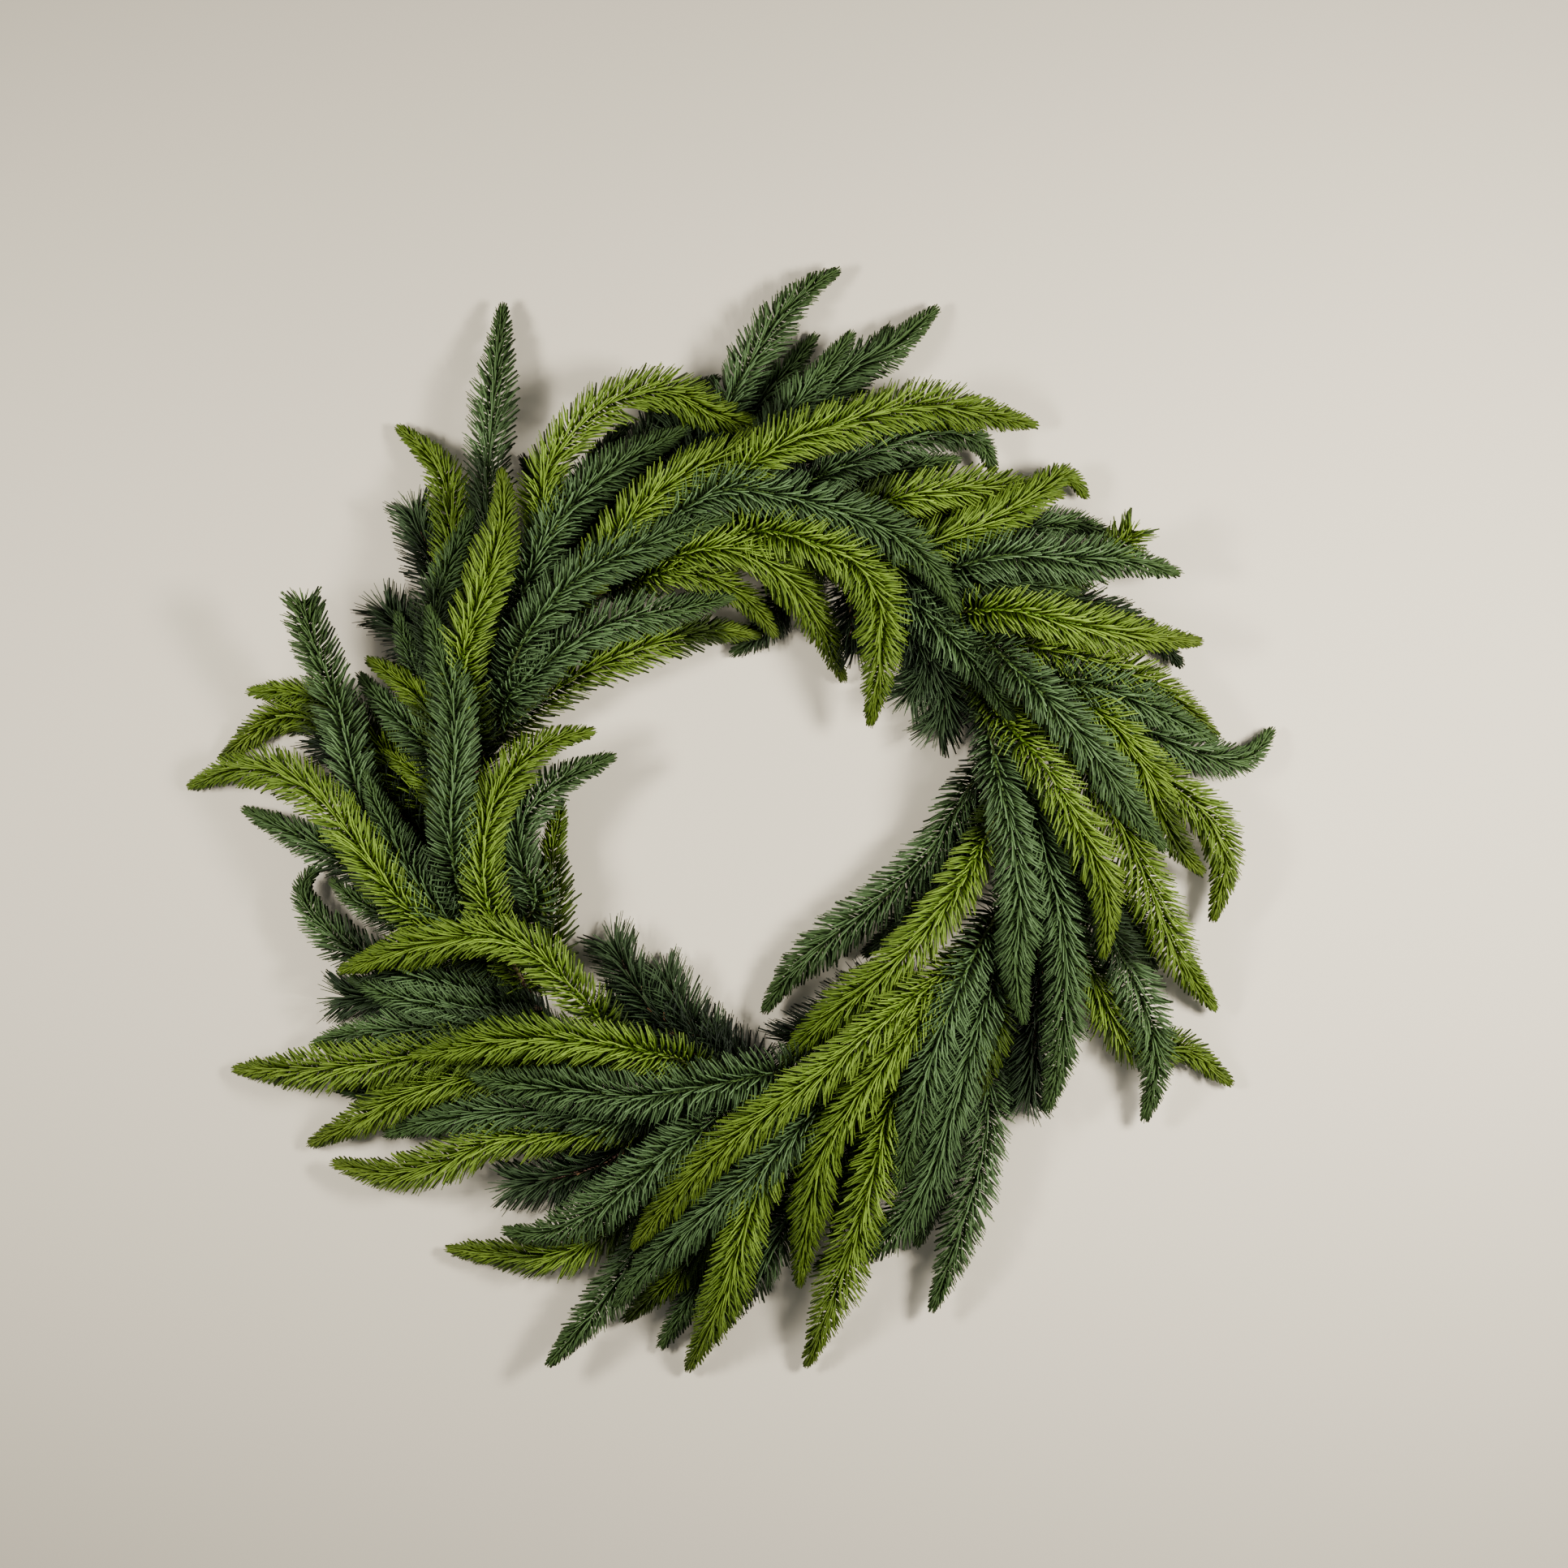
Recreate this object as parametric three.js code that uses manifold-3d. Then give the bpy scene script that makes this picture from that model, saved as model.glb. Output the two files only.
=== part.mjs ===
// An evergreen wreath that lies face up: long tapering needle sprays in two greens and
// short dark tufts, each bound by its foot to one wire ring. Millimetres, +Z up, the
// ring's flat underside on z = 0 and the origin in the middle of the footprint.
import * as THREE from "three";
import { mergeVertices } from "three/addons/utils/BufferGeometryUtils.js";
import Module from "manifold-3d";

// The wire ring.
const RING_RADIUS = 152;
const RING_WIRE_RADIUS = 2.5;
const RING_SIDES = 6;
const RING_STEPS = 36;
const RING_CENTRE_Z = RING_WIRE_RADIUS * Math.sin(Math.PI / 3);

// How the photograph's pixels lie on the wreath: it was taken from straight above.
const PHOTO_CENTRE_PIXEL = [966, 966];
const RING_CENTRE_PIXEL = [922, 1020];
const MM_PER_PIXEL = 0.45;
const CAMERA_HEIGHT = 2000;

// A stem is a square bar bent along its spray, thin at the foot that is bound to the ring.
const STEM_SIDES = 4;
const STEM_STEP_LENGTH = 28;
const STEM_ROOT_RADIUS = 1.4;
const STEM_BODY_RADIUS = 1.9;
const STEM_TIP_RADIUS = 0.9;
const SWELL_SHARE = 0.2;
const TIP_REACH = 7;
const SEAT_GAP = 0.3;
const ROOT_Z = 2 * RING_CENTRE_Z + SEAT_GAP + STEM_ROOT_RADIUS;

// Where a spray is highest, and how crossing stems come to rest on each other.
const CREST_SHARE = 0.4;
const SAMPLE_LENGTH = 5;
const REACH_AT_ROOT = 2;
const REACH_OF_BODY = 5.4;
const REACH_GROWS_OVER = 40;
const FLOOR_CLEARANCE = 3.2;
const SETTLING_PASSES = 400;
const PUSH_SHARE = 0.35;
const STIFFNESS = 0.24;

// Needles, by kind: their length and thickness, their angles from the stem in degrees at
// its foot and at its tip, their spacing along it and the share of it that is bare.
const KINDS = {
  light: { colour: 0x7f9a2c, length: 14.5, thick: 1.3, open: 56, close: 30, pitch: 25.6, bare: 0.18 },
  dark: { colour: 0x3f6148, length: 14.5, thick: 1.3, open: 56, close: 30, pitch: 25.6, bare: 0.18 },
  pine: { colour: 0x22382c, length: 22, thick: 1.4, open: 60, close: 34, pitch: 13, bare: 0.25 },
};
const FOLIAGE_ROUGHNESS = 0.6;
const FACE_TURN = Math.PI / 2;
const FIRST_FACE = Math.PI / 4;
const NEEDLE_SIDES = 3;
const NEEDLE_SUNK = 1.6;
const NEEDLE_FOOT_SHARE = 0.1;
const TIP_NEEDLE_SHARE = 0.62;
const NODE_GAP = 0.45;
const FLOOR_GAP = 0.4;
const NEEDLE_WIDTH_SHARE = 0.8;
const TIP_OPEN_SHARE = 0.2;
const TAPER_FROM = 0.6;
const TURNS_ASIDE = [0, 1, -1, 2, 0.3, -0.3, 1.3, -1.3, 0.7, -0.7];
const OPENINGS_TRIED = [1, 0.62, 0.3];

// Every branch is bound to the ring at one angle, in degrees anticlockwise from three
// o'clock, and carries one or more sprays of one kind. A spray's photo points run from
// the ring to its tip, in the photograph's pixels; crest and end are the heights of its
// middle and its tip before the sprays settle on each other.
const BRANCHES = [
  { name: "light_01", kind: "light", root: 141, sprays: [
    { crest: 44, end: 30,
      photo: [[672, 660], [670, 592], [704, 534], [762, 491], [820, 481], [882, 510], [955, 532]] },
    { crest: 62, end: 52,
      photo: [[742, 690], [790, 625], [850, 580], [920, 557], [980, 546], [1050, 548]] } ] },
  { name: "light_02", kind: "light", root: 109, sprays: [
    { crest: 58, end: 14,
      photo: [[890, 605], [970, 545], [1050, 519], [1130, 498], [1205, 507], [1281, 524]] },
    { crest: 66, end: 34,
      photo: [[925, 657], [1000, 668], [1055, 695], [1083, 740], [1085, 805], [1072, 896]] } ] },
  { name: "light_03", kind: "light", root: 121, sprays: [
    { crest: 56, end: 8,
      photo: [[835, 686], [900, 676], [945, 693], [985, 730], [1015, 780], [1041, 843]] },
    { crest: 46, end: 26,
      photo: [[775, 718], [835, 702], [890, 718], [930, 748], [957, 786]] } ] },
  { name: "light_04", kind: "light", root: 79, sprays: [
    { crest: 34, end: 22,
      photo: [[1030, 638], [1090, 617], [1160, 604], [1235, 601], [1312, 610]] },
    { crest: 46, end: 12,
      photo: [[1085, 688], [1150, 668], [1215, 643], [1270, 612], [1314, 584], [1342, 615]] } ] },
  { name: "light_05", kind: "light", root: 162, sprays: [
    { crest: 24, end: 16,
      photo: [[655, 872], [700, 838], [780, 802], [860, 778], [938, 782]] } ] },
  { name: "light_06", kind: "light", root: 43, sprays: [
    { crest: 24, end: 46,
      photo: [[1250, 725], [1320, 705], [1368, 680], [1408, 643]] },
    { crest: 16, end: 12,
      photo: [[1240, 745], [1290, 724], [1340, 722]] } ] },
  { name: "light_07", kind: "light", root: 50, sprays: [
    { crest: 60, end: 34,
      photo: [[1190, 752], [1250, 752], [1320, 768], [1400, 783], [1484, 791]] },
    { crest: 30, end: 16,
      photo: [[1230, 790], [1290, 800], [1360, 818], [1425, 848], [1470, 880], [1503, 910]] } ] },
  { name: "light_08", kind: "light", root: 24, sprays: [
    { crest: 40, end: 22,
      photo: [[1300, 860], [1355, 880], [1400, 930], [1430, 1000], [1453, 1043], [1484, 1078]] },
    { crest: 26, end: 20,
      photo: [[1320, 890], [1386, 925], [1440, 966], [1488, 1006], [1510, 1060], [1495, 1135]] } ] },
  { name: "light_09", kind: "light", root: 36, sprays: [
    { crest: 66, end: 52,
      photo: [[1235, 882], [1285, 940], [1330, 1020], [1362, 1095], [1361, 1182]] },
    { crest: 44, end: 12,
      photo: [[1270, 872], [1330, 940], [1383, 1020], [1420, 1100], [1453, 1180], [1500, 1246]] } ] },
  { name: "light_10", kind: "light", root: 353, sprays: [
    { crest: 16, end: 8,
      photo: [[1310, 1125], [1342, 1190], [1372, 1255], [1410, 1292], [1455, 1291], [1519, 1337]] } ] },
  { name: "light_11", kind: "light", root: 10, sprays: [
    { crest: 60, end: 46,
      photo: [[1222, 1020], [1172, 1105], [1110, 1180], [1045, 1235], [990, 1285], [960, 1322]] } ] },
  { name: "light_12", kind: "light", root: 342, sprays: [
    { crest: 68, end: 44,
      photo: [[1190, 1180], [1100, 1247], [1010, 1325], [940, 1375], [875, 1428], [822, 1485], [778, 1539]] },
    { crest: 62, end: 22,
      photo: [[1180, 1200], [1125, 1262], [1070, 1335], [1020, 1405], [1000, 1480], [984, 1588]] } ] },
  { name: "light_13", kind: "light", root: 327, sprays: [
    { crest: 40, end: 10,
      photo: [[1140, 1290], [1100, 1350], [1083, 1420], [1060, 1500], [1030, 1590], [993, 1686]] },
    { crest: 22, end: 16,
      photo: [[1225, 1240], [1215, 1290], [1205, 1352]] } ] },
  { name: "light_14", kind: "light", root: 289, sprays: [
    { crest: 50, end: 10,
      photo: [[975, 1402], [935, 1460], [912, 1530], [890, 1600], [846, 1693]] },
    { crest: 14, end: 8,
      photo: [[960, 1400], [900, 1480], [840, 1562], [768, 1628]] } ] },
  { name: "light_15", kind: "light", root: 259, sprays: [
    { crest: 18, end: 8,
      photo: [[810, 1440], [754, 1510], [695, 1545], [630, 1546], [549, 1539]] },
    { crest: 30, end: 14,
      photo: [[760, 1385], [680, 1397], [610, 1405], [545, 1433], [480, 1446], [407, 1433]] } ] },
  { name: "light_16", kind: "light", root: 241, sprays: [
    { crest: 34, end: 8,
      photo: [[660, 1322], [575, 1327], [510, 1345], [440, 1382], [378, 1411]] },
    { crest: 40, end: 8,
      photo: [[650, 1300], [560, 1296], [480, 1308], [390, 1317], [284, 1318]] } ] },
  { name: "light_17", kind: "light", root: 265, sprays: [
    { crest: 64, end: 46,
      photo: [[850, 1312], [780, 1292], [700, 1282], [620, 1282], [560, 1293], [506, 1301]] } ] },
  { name: "light_18", kind: "light", root: 246, sprays: [
    { crest: 62, end: 36,
      photo: [[745, 1262], [700, 1212], [655, 1170], [600, 1153], [540, 1160], [475, 1177],
        [415, 1198]] } ] },
  { name: "light_19", kind: "light", root: 217, sprays: [
    { crest: 20, end: 22,
      photo: [[676, 1180], [680, 1120], [680, 1055], [692, 985]] },
    { crest: 60, end: 44,
      photo: [[600, 1100], [597, 1020], [625, 958], [672, 916], [734, 900]] } ] },
  { name: "light_20", kind: "light", root: 187, sprays: [
    { crest: 24, end: 12,
      photo: [[500, 960], [440, 890], [380, 856], [303, 851]] },
    { crest: 12, end: 6,
      photo: [[490, 980], [420, 905], [355, 880], [270, 936]] } ] },
  { name: "light_21", kind: "light", root: 210, sprays: [
    { crest: 54, end: 6,
      photo: [[545, 1150], [490, 1105], [440, 1040], [395, 985], [340, 950], [285, 948], [228, 971]] } ] },
  { name: "light_22", kind: "light", root: 192, sprays: [
    { crest: 24, end: 18,
      photo: [[572, 960], [530, 870], [490, 835], [455, 812]] },
    { crest: 24, end: 16,
      photo: [[570, 1020], [530, 965], [475, 925]] } ] },
  { name: "light_23", kind: "light", root: 165, sprays: [
    { crest: 62, end: 58,
      photo: [[572, 820], [590, 740], [608, 685], [620, 635], [618, 577]] },
    { crest: 30, end: 8,
      photo: [[568, 760], [556, 655], [548, 590], [529, 561], [488, 524]] } ] },
  { name: "dark_01", kind: "dark", root: 124, sprays: [
    { crest: 62, end: 44,
      photo: [[830, 640], [890, 605], [960, 610], [1030, 628], [1095, 655], [1145, 695], [1183, 755]] } ] },
  { name: "dark_02", kind: "dark", root: 116, sprays: [
    { crest: 22, end: 12,
      photo: [[840, 600], [890, 510], [925, 445], [965, 385], [1000, 352], [1035, 332]] },
    { crest: 12, end: 6,
      photo: [[870, 600], [935, 495], [975, 450], [1006, 411]] } ] },
  { name: "dark_03", kind: "dark", root: 104, sprays: [
    { crest: 34, end: 10,
      photo: [[920, 592], [988, 518], [1036, 460], [1091, 433], [1157, 377]] },
    { crest: 38, end: 36,
      photo: [[915, 582], [985, 492], [1027, 441], [1052, 408]] },
    { crest: 14, end: 12,
      photo: [[960, 580], [1040, 480], [1078, 430], [1098, 400]] } ] },
  { name: "dark_04", kind: "dark", root: 96, sprays: [
    { crest: 34, end: 16,
      photo: [[970, 612], [1040, 572], [1110, 540], [1175, 530], [1210, 545], [1225, 584]] },
    { crest: 14, end: 10,
      photo: [[985, 612], [1085, 583], [1185, 565]] },
    { crest: 12, end: 10,
      photo: [[1000, 650], [1080, 645], [1160, 632], [1235, 615]] } ] },
  { name: "dark_05", kind: "dark", root: 159, sprays: [
    { crest: 58, end: 50,
      photo: [[650, 785], [700, 722], [765, 685], [835, 655], [905, 638]] },
    { crest: 44, end: 42,
      photo: [[655, 835], [700, 795], [765, 763], [840, 750], [906, 735]] },
    { crest: 40, end: 34,
      photo: [[636, 848], [688, 806], [735, 790]] } ] },
  { name: "dark_06", kind: "dark", root: 150, sprays: [
    { crest: 30, end: 12,
      photo: [[608, 730], [600, 640], [605, 520], [612, 450], [620, 372]] },
    { crest: 42, end: 30,
      photo: [[650, 720], [690, 640], [740, 590], [800, 552], [850, 525]] } ] },
  { name: "dark_07", kind: "dark", root: 133, sprays: [
    { crest: 16, end: 10,
      photo: [[740, 650], [780, 570], [835, 500], [887, 463]] },
    { crest: 14, end: 8,
      photo: [[690, 680], [682, 628], [642, 560]] },
    { crest: 18, end: 14,
      photo: [[704, 690], [716, 615], [748, 552], [776, 520]] } ] },
  { name: "dark_08", kind: "dark", root: 175, sprays: [
    { crest: 40, end: 34,
      photo: [[548, 850], [534, 765], [552, 700], [585, 628]] },
    { crest: 32, end: 28,
      photo: [[540, 930], [520, 850], [503, 800], [488, 752]] },
    { crest: 42, end: 34,
      photo: [[560, 960], [515, 905], [470, 865], [440, 828]] } ] },
  { name: "dark_09", kind: "dark", root: 74, sprays: [
    { crest: 30, end: 24,
      photo: [[1060, 692], [1110, 730], [1160, 775], [1205, 825], [1245, 890]] },
    { crest: 10, end: 6,
      photo: [[968, 730], [945, 774], [900, 807]] },
    { crest: 38, end: 30,
      photo: [[1060, 672], [1120, 705], [1155, 745], [1190, 792]] } ] },
  { name: "dark_10", kind: "dark", root: 58, sprays: [
    { crest: 52, end: 30,
      photo: [[1185, 697], [1240, 684], [1310, 688], [1385, 690], [1456, 707]] },
    { crest: 14, end: 8,
      photo: [[1200, 680], [1260, 655], [1320, 645], [1378, 662]] },
    { crest: 36, end: 26,
      photo: [[1160, 712], [1225, 714], [1280, 722], [1330, 730]] },
    { crest: 20, end: 10,
      photo: [[1250, 745], [1330, 745], [1390, 765], [1432, 792], [1457, 822]] } ] },
  { name: "dark_11", kind: "dark", root: 29, sprays: [
    { crest: 28, end: 8,
      photo: [[1310, 862], [1380, 890], [1440, 913], [1490, 932], [1535, 935], [1571, 897]] },
    { crest: 34, end: 22,
      photo: [[1300, 838], [1370, 853], [1430, 878], [1500, 915]] } ] },
  { name: "dark_12", kind: "dark", root: 46, sprays: [
    { crest: 66, end: 46,
      photo: [[1212, 790], [1260, 832], [1310, 882], [1352, 932], [1392, 992], [1438, 1050]] } ] },
  { name: "dark_13", kind: "dark", root: 32, sprays: [
    { crest: 60, end: 50,
      photo: [[1226, 940], [1248, 1030], [1257, 1110], [1252, 1190], [1262, 1262]] },
    { crest: 46, end: 24,
      photo: [[1265, 980], [1290, 1060], [1309, 1140], [1313, 1220], [1307, 1300], [1289, 1372]] } ] },
  { name: "dark_14", kind: "dark", root: 4, sprays: [
    { crest: 30, end: 14,
      photo: [[1310, 1060], [1356, 1130], [1395, 1205], [1419, 1270], [1424, 1325], [1409, 1382]] },
    { crest: 20, end: 12,
      photo: [[1300, 1015], [1352, 1078], [1394, 1136], [1424, 1198]] } ] },
  { name: "dark_15", kind: "dark", root: 18, sprays: [
    { crest: 26, end: 14,
      photo: [[1195, 970], [1150, 1045], [1090, 1105], [1025, 1155], [975, 1200], [940, 1248]] },
    { crest: 14, end: 10,
      photo: [[1207, 1000], [1168, 1080], [1112, 1140], [1062, 1178]] } ] },
  { name: "dark_16", kind: "dark", root: 347, sprays: [
    { crest: 54, end: 40,
      photo: [[1215, 1150], [1175, 1230], [1145, 1310], [1125, 1390], [1104, 1471]] },
    { crest: 46, end: 12,
      photo: [[1222, 1200], [1197, 1290], [1172, 1370], [1147, 1450], [1095, 1520], [1003, 1563]] } ] },
  { name: "dark_17", kind: "dark", root: 322, sprays: [
    { crest: 22, end: 16,
      photo: [[1215, 1310], [1216, 1390], [1199, 1465], [1176, 1540], [1148, 1617]] },
    { crest: 16, end: 12,
      photo: [[1135, 1330], [1085, 1400], [1048, 1470], [1026, 1530]] },
    { crest: 14, end: 10,
      photo: [[1185, 1340], [1164, 1425], [1142, 1500], [1128, 1538]] } ] },
  { name: "dark_18", kind: "dark", root: 303, sprays: [
    { crest: 46, end: 28,
      photo: [[1020, 1352], [960, 1415], [895, 1472], [835, 1525], [790, 1570], [757, 1610]] },
    { crest: 20, end: 8,
      photo: [[1030, 1410], [968, 1508], [923, 1577], [864, 1658]] } ] },
  { name: "dark_19", kind: "dark", root: 281, sprays: [
    { crest: 16, end: 8,
      photo: [[930, 1450], [880, 1550], [845, 1610], [812, 1662]] },
    { crest: 24, end: 26,
      photo: [[880, 1430], [812, 1502], [769, 1570], [725, 1625], [674, 1684]] },
    { crest: 52, end: 26,
      photo: [[930, 1350], [855, 1398], [785, 1452], [715, 1503], [660, 1522], [617, 1516]] } ] },
  { name: "dark_20", kind: "dark", root: 295, sprays: [
    { crest: 60, end: 38,
      photo: [[975, 1318], [885, 1335], [800, 1350], [720, 1345], [650, 1338], [576, 1323]] } ] },
  { name: "dark_21", kind: "dark", root: 254, sprays: [
    { crest: 36, end: 20,
      photo: [[770, 1378], [700, 1370], [620, 1370], [550, 1378], [471, 1398]] } ] },
  { name: "dark_22", kind: "dark", root: 236, sprays: [
    { crest: 36, end: 16,
      photo: [[660, 1270], [580, 1268], [500, 1270], [430, 1275], [381, 1288]] },
    { crest: 14, end: 6,
      photo: [[620, 1320], [560, 1340], [480, 1350], [412, 1342]] } ] },
  { name: "dark_23", kind: "dark", root: 221, sprays: [
    { crest: 30, end: 22,
      photo: [[600, 1245], [540, 1240], [480, 1225], [428, 1205]] },
    { crest: 22, end: 16,
      photo: [[570, 1218], [490, 1195], [425, 1165], [380, 1120], [373, 1090], [395, 1068]] } ] },
  { name: "dark_24", kind: "dark", root: 206, sprays: [
    { crest: 44, end: 36,
      photo: [[660, 1110], [638, 1060], [642, 1010], [685, 965], [759, 930]] },
    { crest: 66, end: 56,
      photo: [[572, 1110], [556, 1040], [558, 960], [560, 880], [545, 810], [527, 745]] },
    { crest: 14, end: 12,
      photo: [[640, 1110], [624, 1040], [632, 980], [642, 935]] } ] },
  { name: "dark_25", kind: "dark", root: 202, sprays: [
    { crest: 40, end: 58,
      photo: [[535, 1110], [470, 1050], [438, 970], [423, 895], [401, 825], [382, 775], [370, 727]] },
    { crest: 30, end: 8,
      photo: [[560, 1140], [480, 1090], [400, 1045], [296, 996]] } ] },
  { name: "dark_26", kind: "dark", root: 214, sprays: [
    { crest: 28, end: 18,
      photo: [[570, 1170], [490, 1135], [435, 1108], [405, 1082]] },
    { crest: 38, end: 30,
      photo: [[560, 1140], [505, 1070], [475, 1010], [452, 950]] } ] },
  { name: "pine_01", kind: "pine", root: 107, sprays: [
    { crest: 16, end: 20,
      photo: [[850, 620], [845, 560], [832, 512]] } ] },
  { name: "pine_02", kind: "pine", root: 170, sprays: [
    { crest: 16, end: 14,
      photo: [[560, 760], [532, 690], [506, 620]] },
    { crest: 14, end: 14,
      photo: [[560, 840], [512, 790], [466, 744]] } ] },
  { name: "pine_03", kind: "pine", root: 197, sprays: [
    { crest: 14, end: 12,
      photo: [[500, 1010], [445, 945], [393, 903]] } ] },
  { name: "pine_04", kind: "pine", root: 227, sprays: [
    { crest: 12, end: 12,
      photo: [[560, 1232], [470, 1230], [412, 1228]] } ] },
  { name: "pine_05", kind: "pine", root: 271, sprays: [
    { crest: 18, end: 18,
      photo: [[860, 1300], [800, 1240], [748, 1152]] },
    { crest: 14, end: 16,
      photo: [[880, 1305], [845, 1255], [812, 1190]] },
    { crest: 10, end: 12,
      photo: [[925, 1320], [897, 1300], [868, 1262]] },
    { crest: 12, end: 12,
      photo: [[860, 1320], [795, 1285], [738, 1232]] } ] },
  { name: "pine_06", kind: "pine", root: 250, sprays: [
    { crest: 12, end: 12,
      photo: [[760, 1425], [690, 1450], [622, 1460]] } ] },
  { name: "pine_07", kind: "pine", root: 310, sprays: [
    { crest: 12, end: 12,
      photo: [[1090, 1220], [1020, 1262], [962, 1290]] } ] },
  { name: "pine_08", kind: "pine", root: 357, sprays: [
    { crest: 18, end: 14,
      photo: [[1280, 1180], [1275, 1280], [1265, 1366]] } ] },
  { name: "pine_09", kind: "pine", root: 67, sprays: [
    { crest: 22, end: 20,
      photo: [[1145, 805], [1112, 866]] },
    { crest: 16, end: 16,
      photo: [[1165, 850], [1150, 906]] },
    { crest: 16, end: 14,
      photo: [[1048, 750], [1060, 808]] } ] },
];

const wasm = await Module();
wasm.setup();

const UP = new THREE.Vector3(0, 0, 1);
const CONE_AXIS = new THREE.Vector3(0, 1, 0);
const STEEL = { colour: 0x3d4a3a, roughness: 0.5, metalness: 0.8 };

function lerp(from, to, share) {
  return from + (to - from) * share;
}

// A closed geometry as a solid that can be joined to others.
function solidFrom(geometry) {
  const bare = geometry.clone();
  bare.deleteAttribute("normal");
  bare.deleteAttribute("uv");
  const merged = mergeVertices(bare, 1e-5);
  return new wasm.Manifold(new wasm.Mesh({
    numProp: 3,
    vertProperties: new Float32Array(merged.attributes.position.array),
    triVerts: new Uint32Array(merged.index.array),
  }));
}

function meshFrom(name, solid, colour, roughness, metalness) {
  const { vertProperties, triVerts } = solid.getMesh();
  const geometry = new THREE.BufferGeometry();
  geometry.setAttribute("position", new THREE.BufferAttribute(vertProperties, 3));
  geometry.setIndex(new THREE.BufferAttribute(triVerts, 1));
  geometry.computeVertexNormals();
  const material = new THREE.MeshStandardMaterial({ color: colour, roughness, metalness });
  const mesh = new THREE.Mesh(geometry, material);
  mesh.name = name;
  return mesh;
}

// The height of a spray before it settles: up from the ring to its crest, then down to its tip.
function profileHeight(spray, share) {
  if (share < CREST_SHARE) {
    return lerp(ROOT_Z, spray.crest, Math.sin((Math.PI / 2) * (share / CREST_SHARE)));
  }
  const past = (share - CREST_SHARE) / (1 - CREST_SHARE);
  return lerp(spray.end, spray.crest, Math.cos((Math.PI / 2) * past));
}

// A photo point on the ring's plane. What stands higher is nearer the camera and looks
// further out from the middle of the picture, so it is drawn in by its height.
function planPoint(pixel, height) {
  const inward = 1 - height / CAMERA_HEIGHT;
  const [right, down] = pixel.map((value, axis) => {
    const centre = PHOTO_CENTRE_PIXEL[axis];
    return (value - centre) * inward + centre - RING_CENTRE_PIXEL[axis];
  });
  return new THREE.Vector3(right * MM_PER_PIXEL, -down * MM_PER_PIXEL, 0);
}

function layStem(branch, spray) {
  const angle = THREE.MathUtils.degToRad(branch.root);
  const foot = new THREE.Vector3(RING_RADIUS * Math.cos(angle), RING_RADIUS * Math.sin(angle), 0);
  const points = spray.photo.map((pixel, index) => {
    const share = (index + 1) / spray.photo.length;
    return planPoint(pixel, profileHeight(spray, share));
  });
  const curve = new THREE.CatmullRomCurve3([foot, ...points], false, "centripetal");
  const whole = curve.getLength();
  const length = whole - TIP_REACH;
  const count = Math.round(length / SAMPLE_LENGTH);
  const samples = Array.from({ length: count + 1 }, (_, index) => {
    const share = index / count;
    const point = curve.getPointAt((share * length) / whole);
    const reach = lerp(REACH_AT_ROOT, REACH_OF_BODY, Math.min(1, (share * length) / REACH_GROWS_OVER));
    const start = profileHeight(spray, share);
    const overRing = Math.abs(Math.hypot(point.x, point.y) - RING_RADIUS) < RING_WIRE_RADIUS + reach;
    const lowest = overRing ? ROOT_Z : FLOOR_CLEARANCE;
    return { x: point.x, y: point.y, reach, start, lowest, height: start, lift: 0, press: 0 };
  });
  return { branch, spray, length, samples };
}

// Where two stems pass closer in plan than they may, the one that starts out higher at
// their nearest point stays above the other all along that stretch.
function findContacts(stems) {
  const contacts = [];
  for (const [index, first] of stems.entries()) {
    for (const second of stems.slice(index + 1)) {
      if (first.branch === second.branch) {
        continue;
      }
      contacts.push(...contactsBetween(first, second));
    }
  }
  return contacts;
}

function contactsBetween(first, second) {
  const contacts = [];
  let stretch = [];
  for (const a of first.samples) {
    const near = second.samples
      .map((b) => ({ a, b, across: Math.hypot(a.x - b.x, a.y - b.y) }))
      .filter(({ b, across }) => across < a.reach + b.reach);
    if (near.length === 0) {
      contacts.push(...orderStretch(stretch));
      stretch = [];
    }
    stretch.push(...near);
  }
  contacts.push(...orderStretch(stretch));
  return contacts;
}

function orderStretch(stretch) {
  if (stretch.length === 0) {
    return [];
  }
  const nearest = stretch.reduce((best, pair) => (pair.across < best.across ? pair : best));
  const firstAbove = nearest.a.start >= nearest.b.start;
  return stretch.map(({ a, b, across }) => ({
    upper: firstAbove ? a : b,
    lower: firstAbove ? b : a,
    apart: Math.sqrt((a.reach + b.reach) ** 2 - across ** 2),
  }));
}

// The sprays come to rest on each other: crossing stems push apart, and each stem stays
// a smooth curve with its foot on the ring.
function settle(stems) {
  const contacts = findContacts(stems);
  for (let pass = 0; pass < SETTLING_PASSES; pass += 1) {
    for (const { upper, lower, apart } of contacts) {
      const short = apart - (upper.height - lower.height);
      upper.lift = Math.max(upper.lift, short * PUSH_SHARE);
      lower.press = Math.max(lower.press, short * PUSH_SHARE);
    }
    const stiffness = STIFFNESS * (1 - pass / SETTLING_PASSES);
    for (const { samples } of stems) {
      const moved = samples.map((sample) => sample.height + sample.lift - sample.press - sample.start);
      samples.forEach((sample, index) => {
        const before = moved[Math.max(0, index - 1)];
        const after = moved[Math.min(samples.length - 1, index + 1)];
        const eased = moved[index] + stiffness * (before + after - 2 * moved[index]);
        sample.height = Math.max(sample.lowest, sample.start + eased);
        sample.lift = 0;
        sample.press = 0;
      });
      samples[0].height = ROOT_Z;
    }
  }
}

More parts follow.
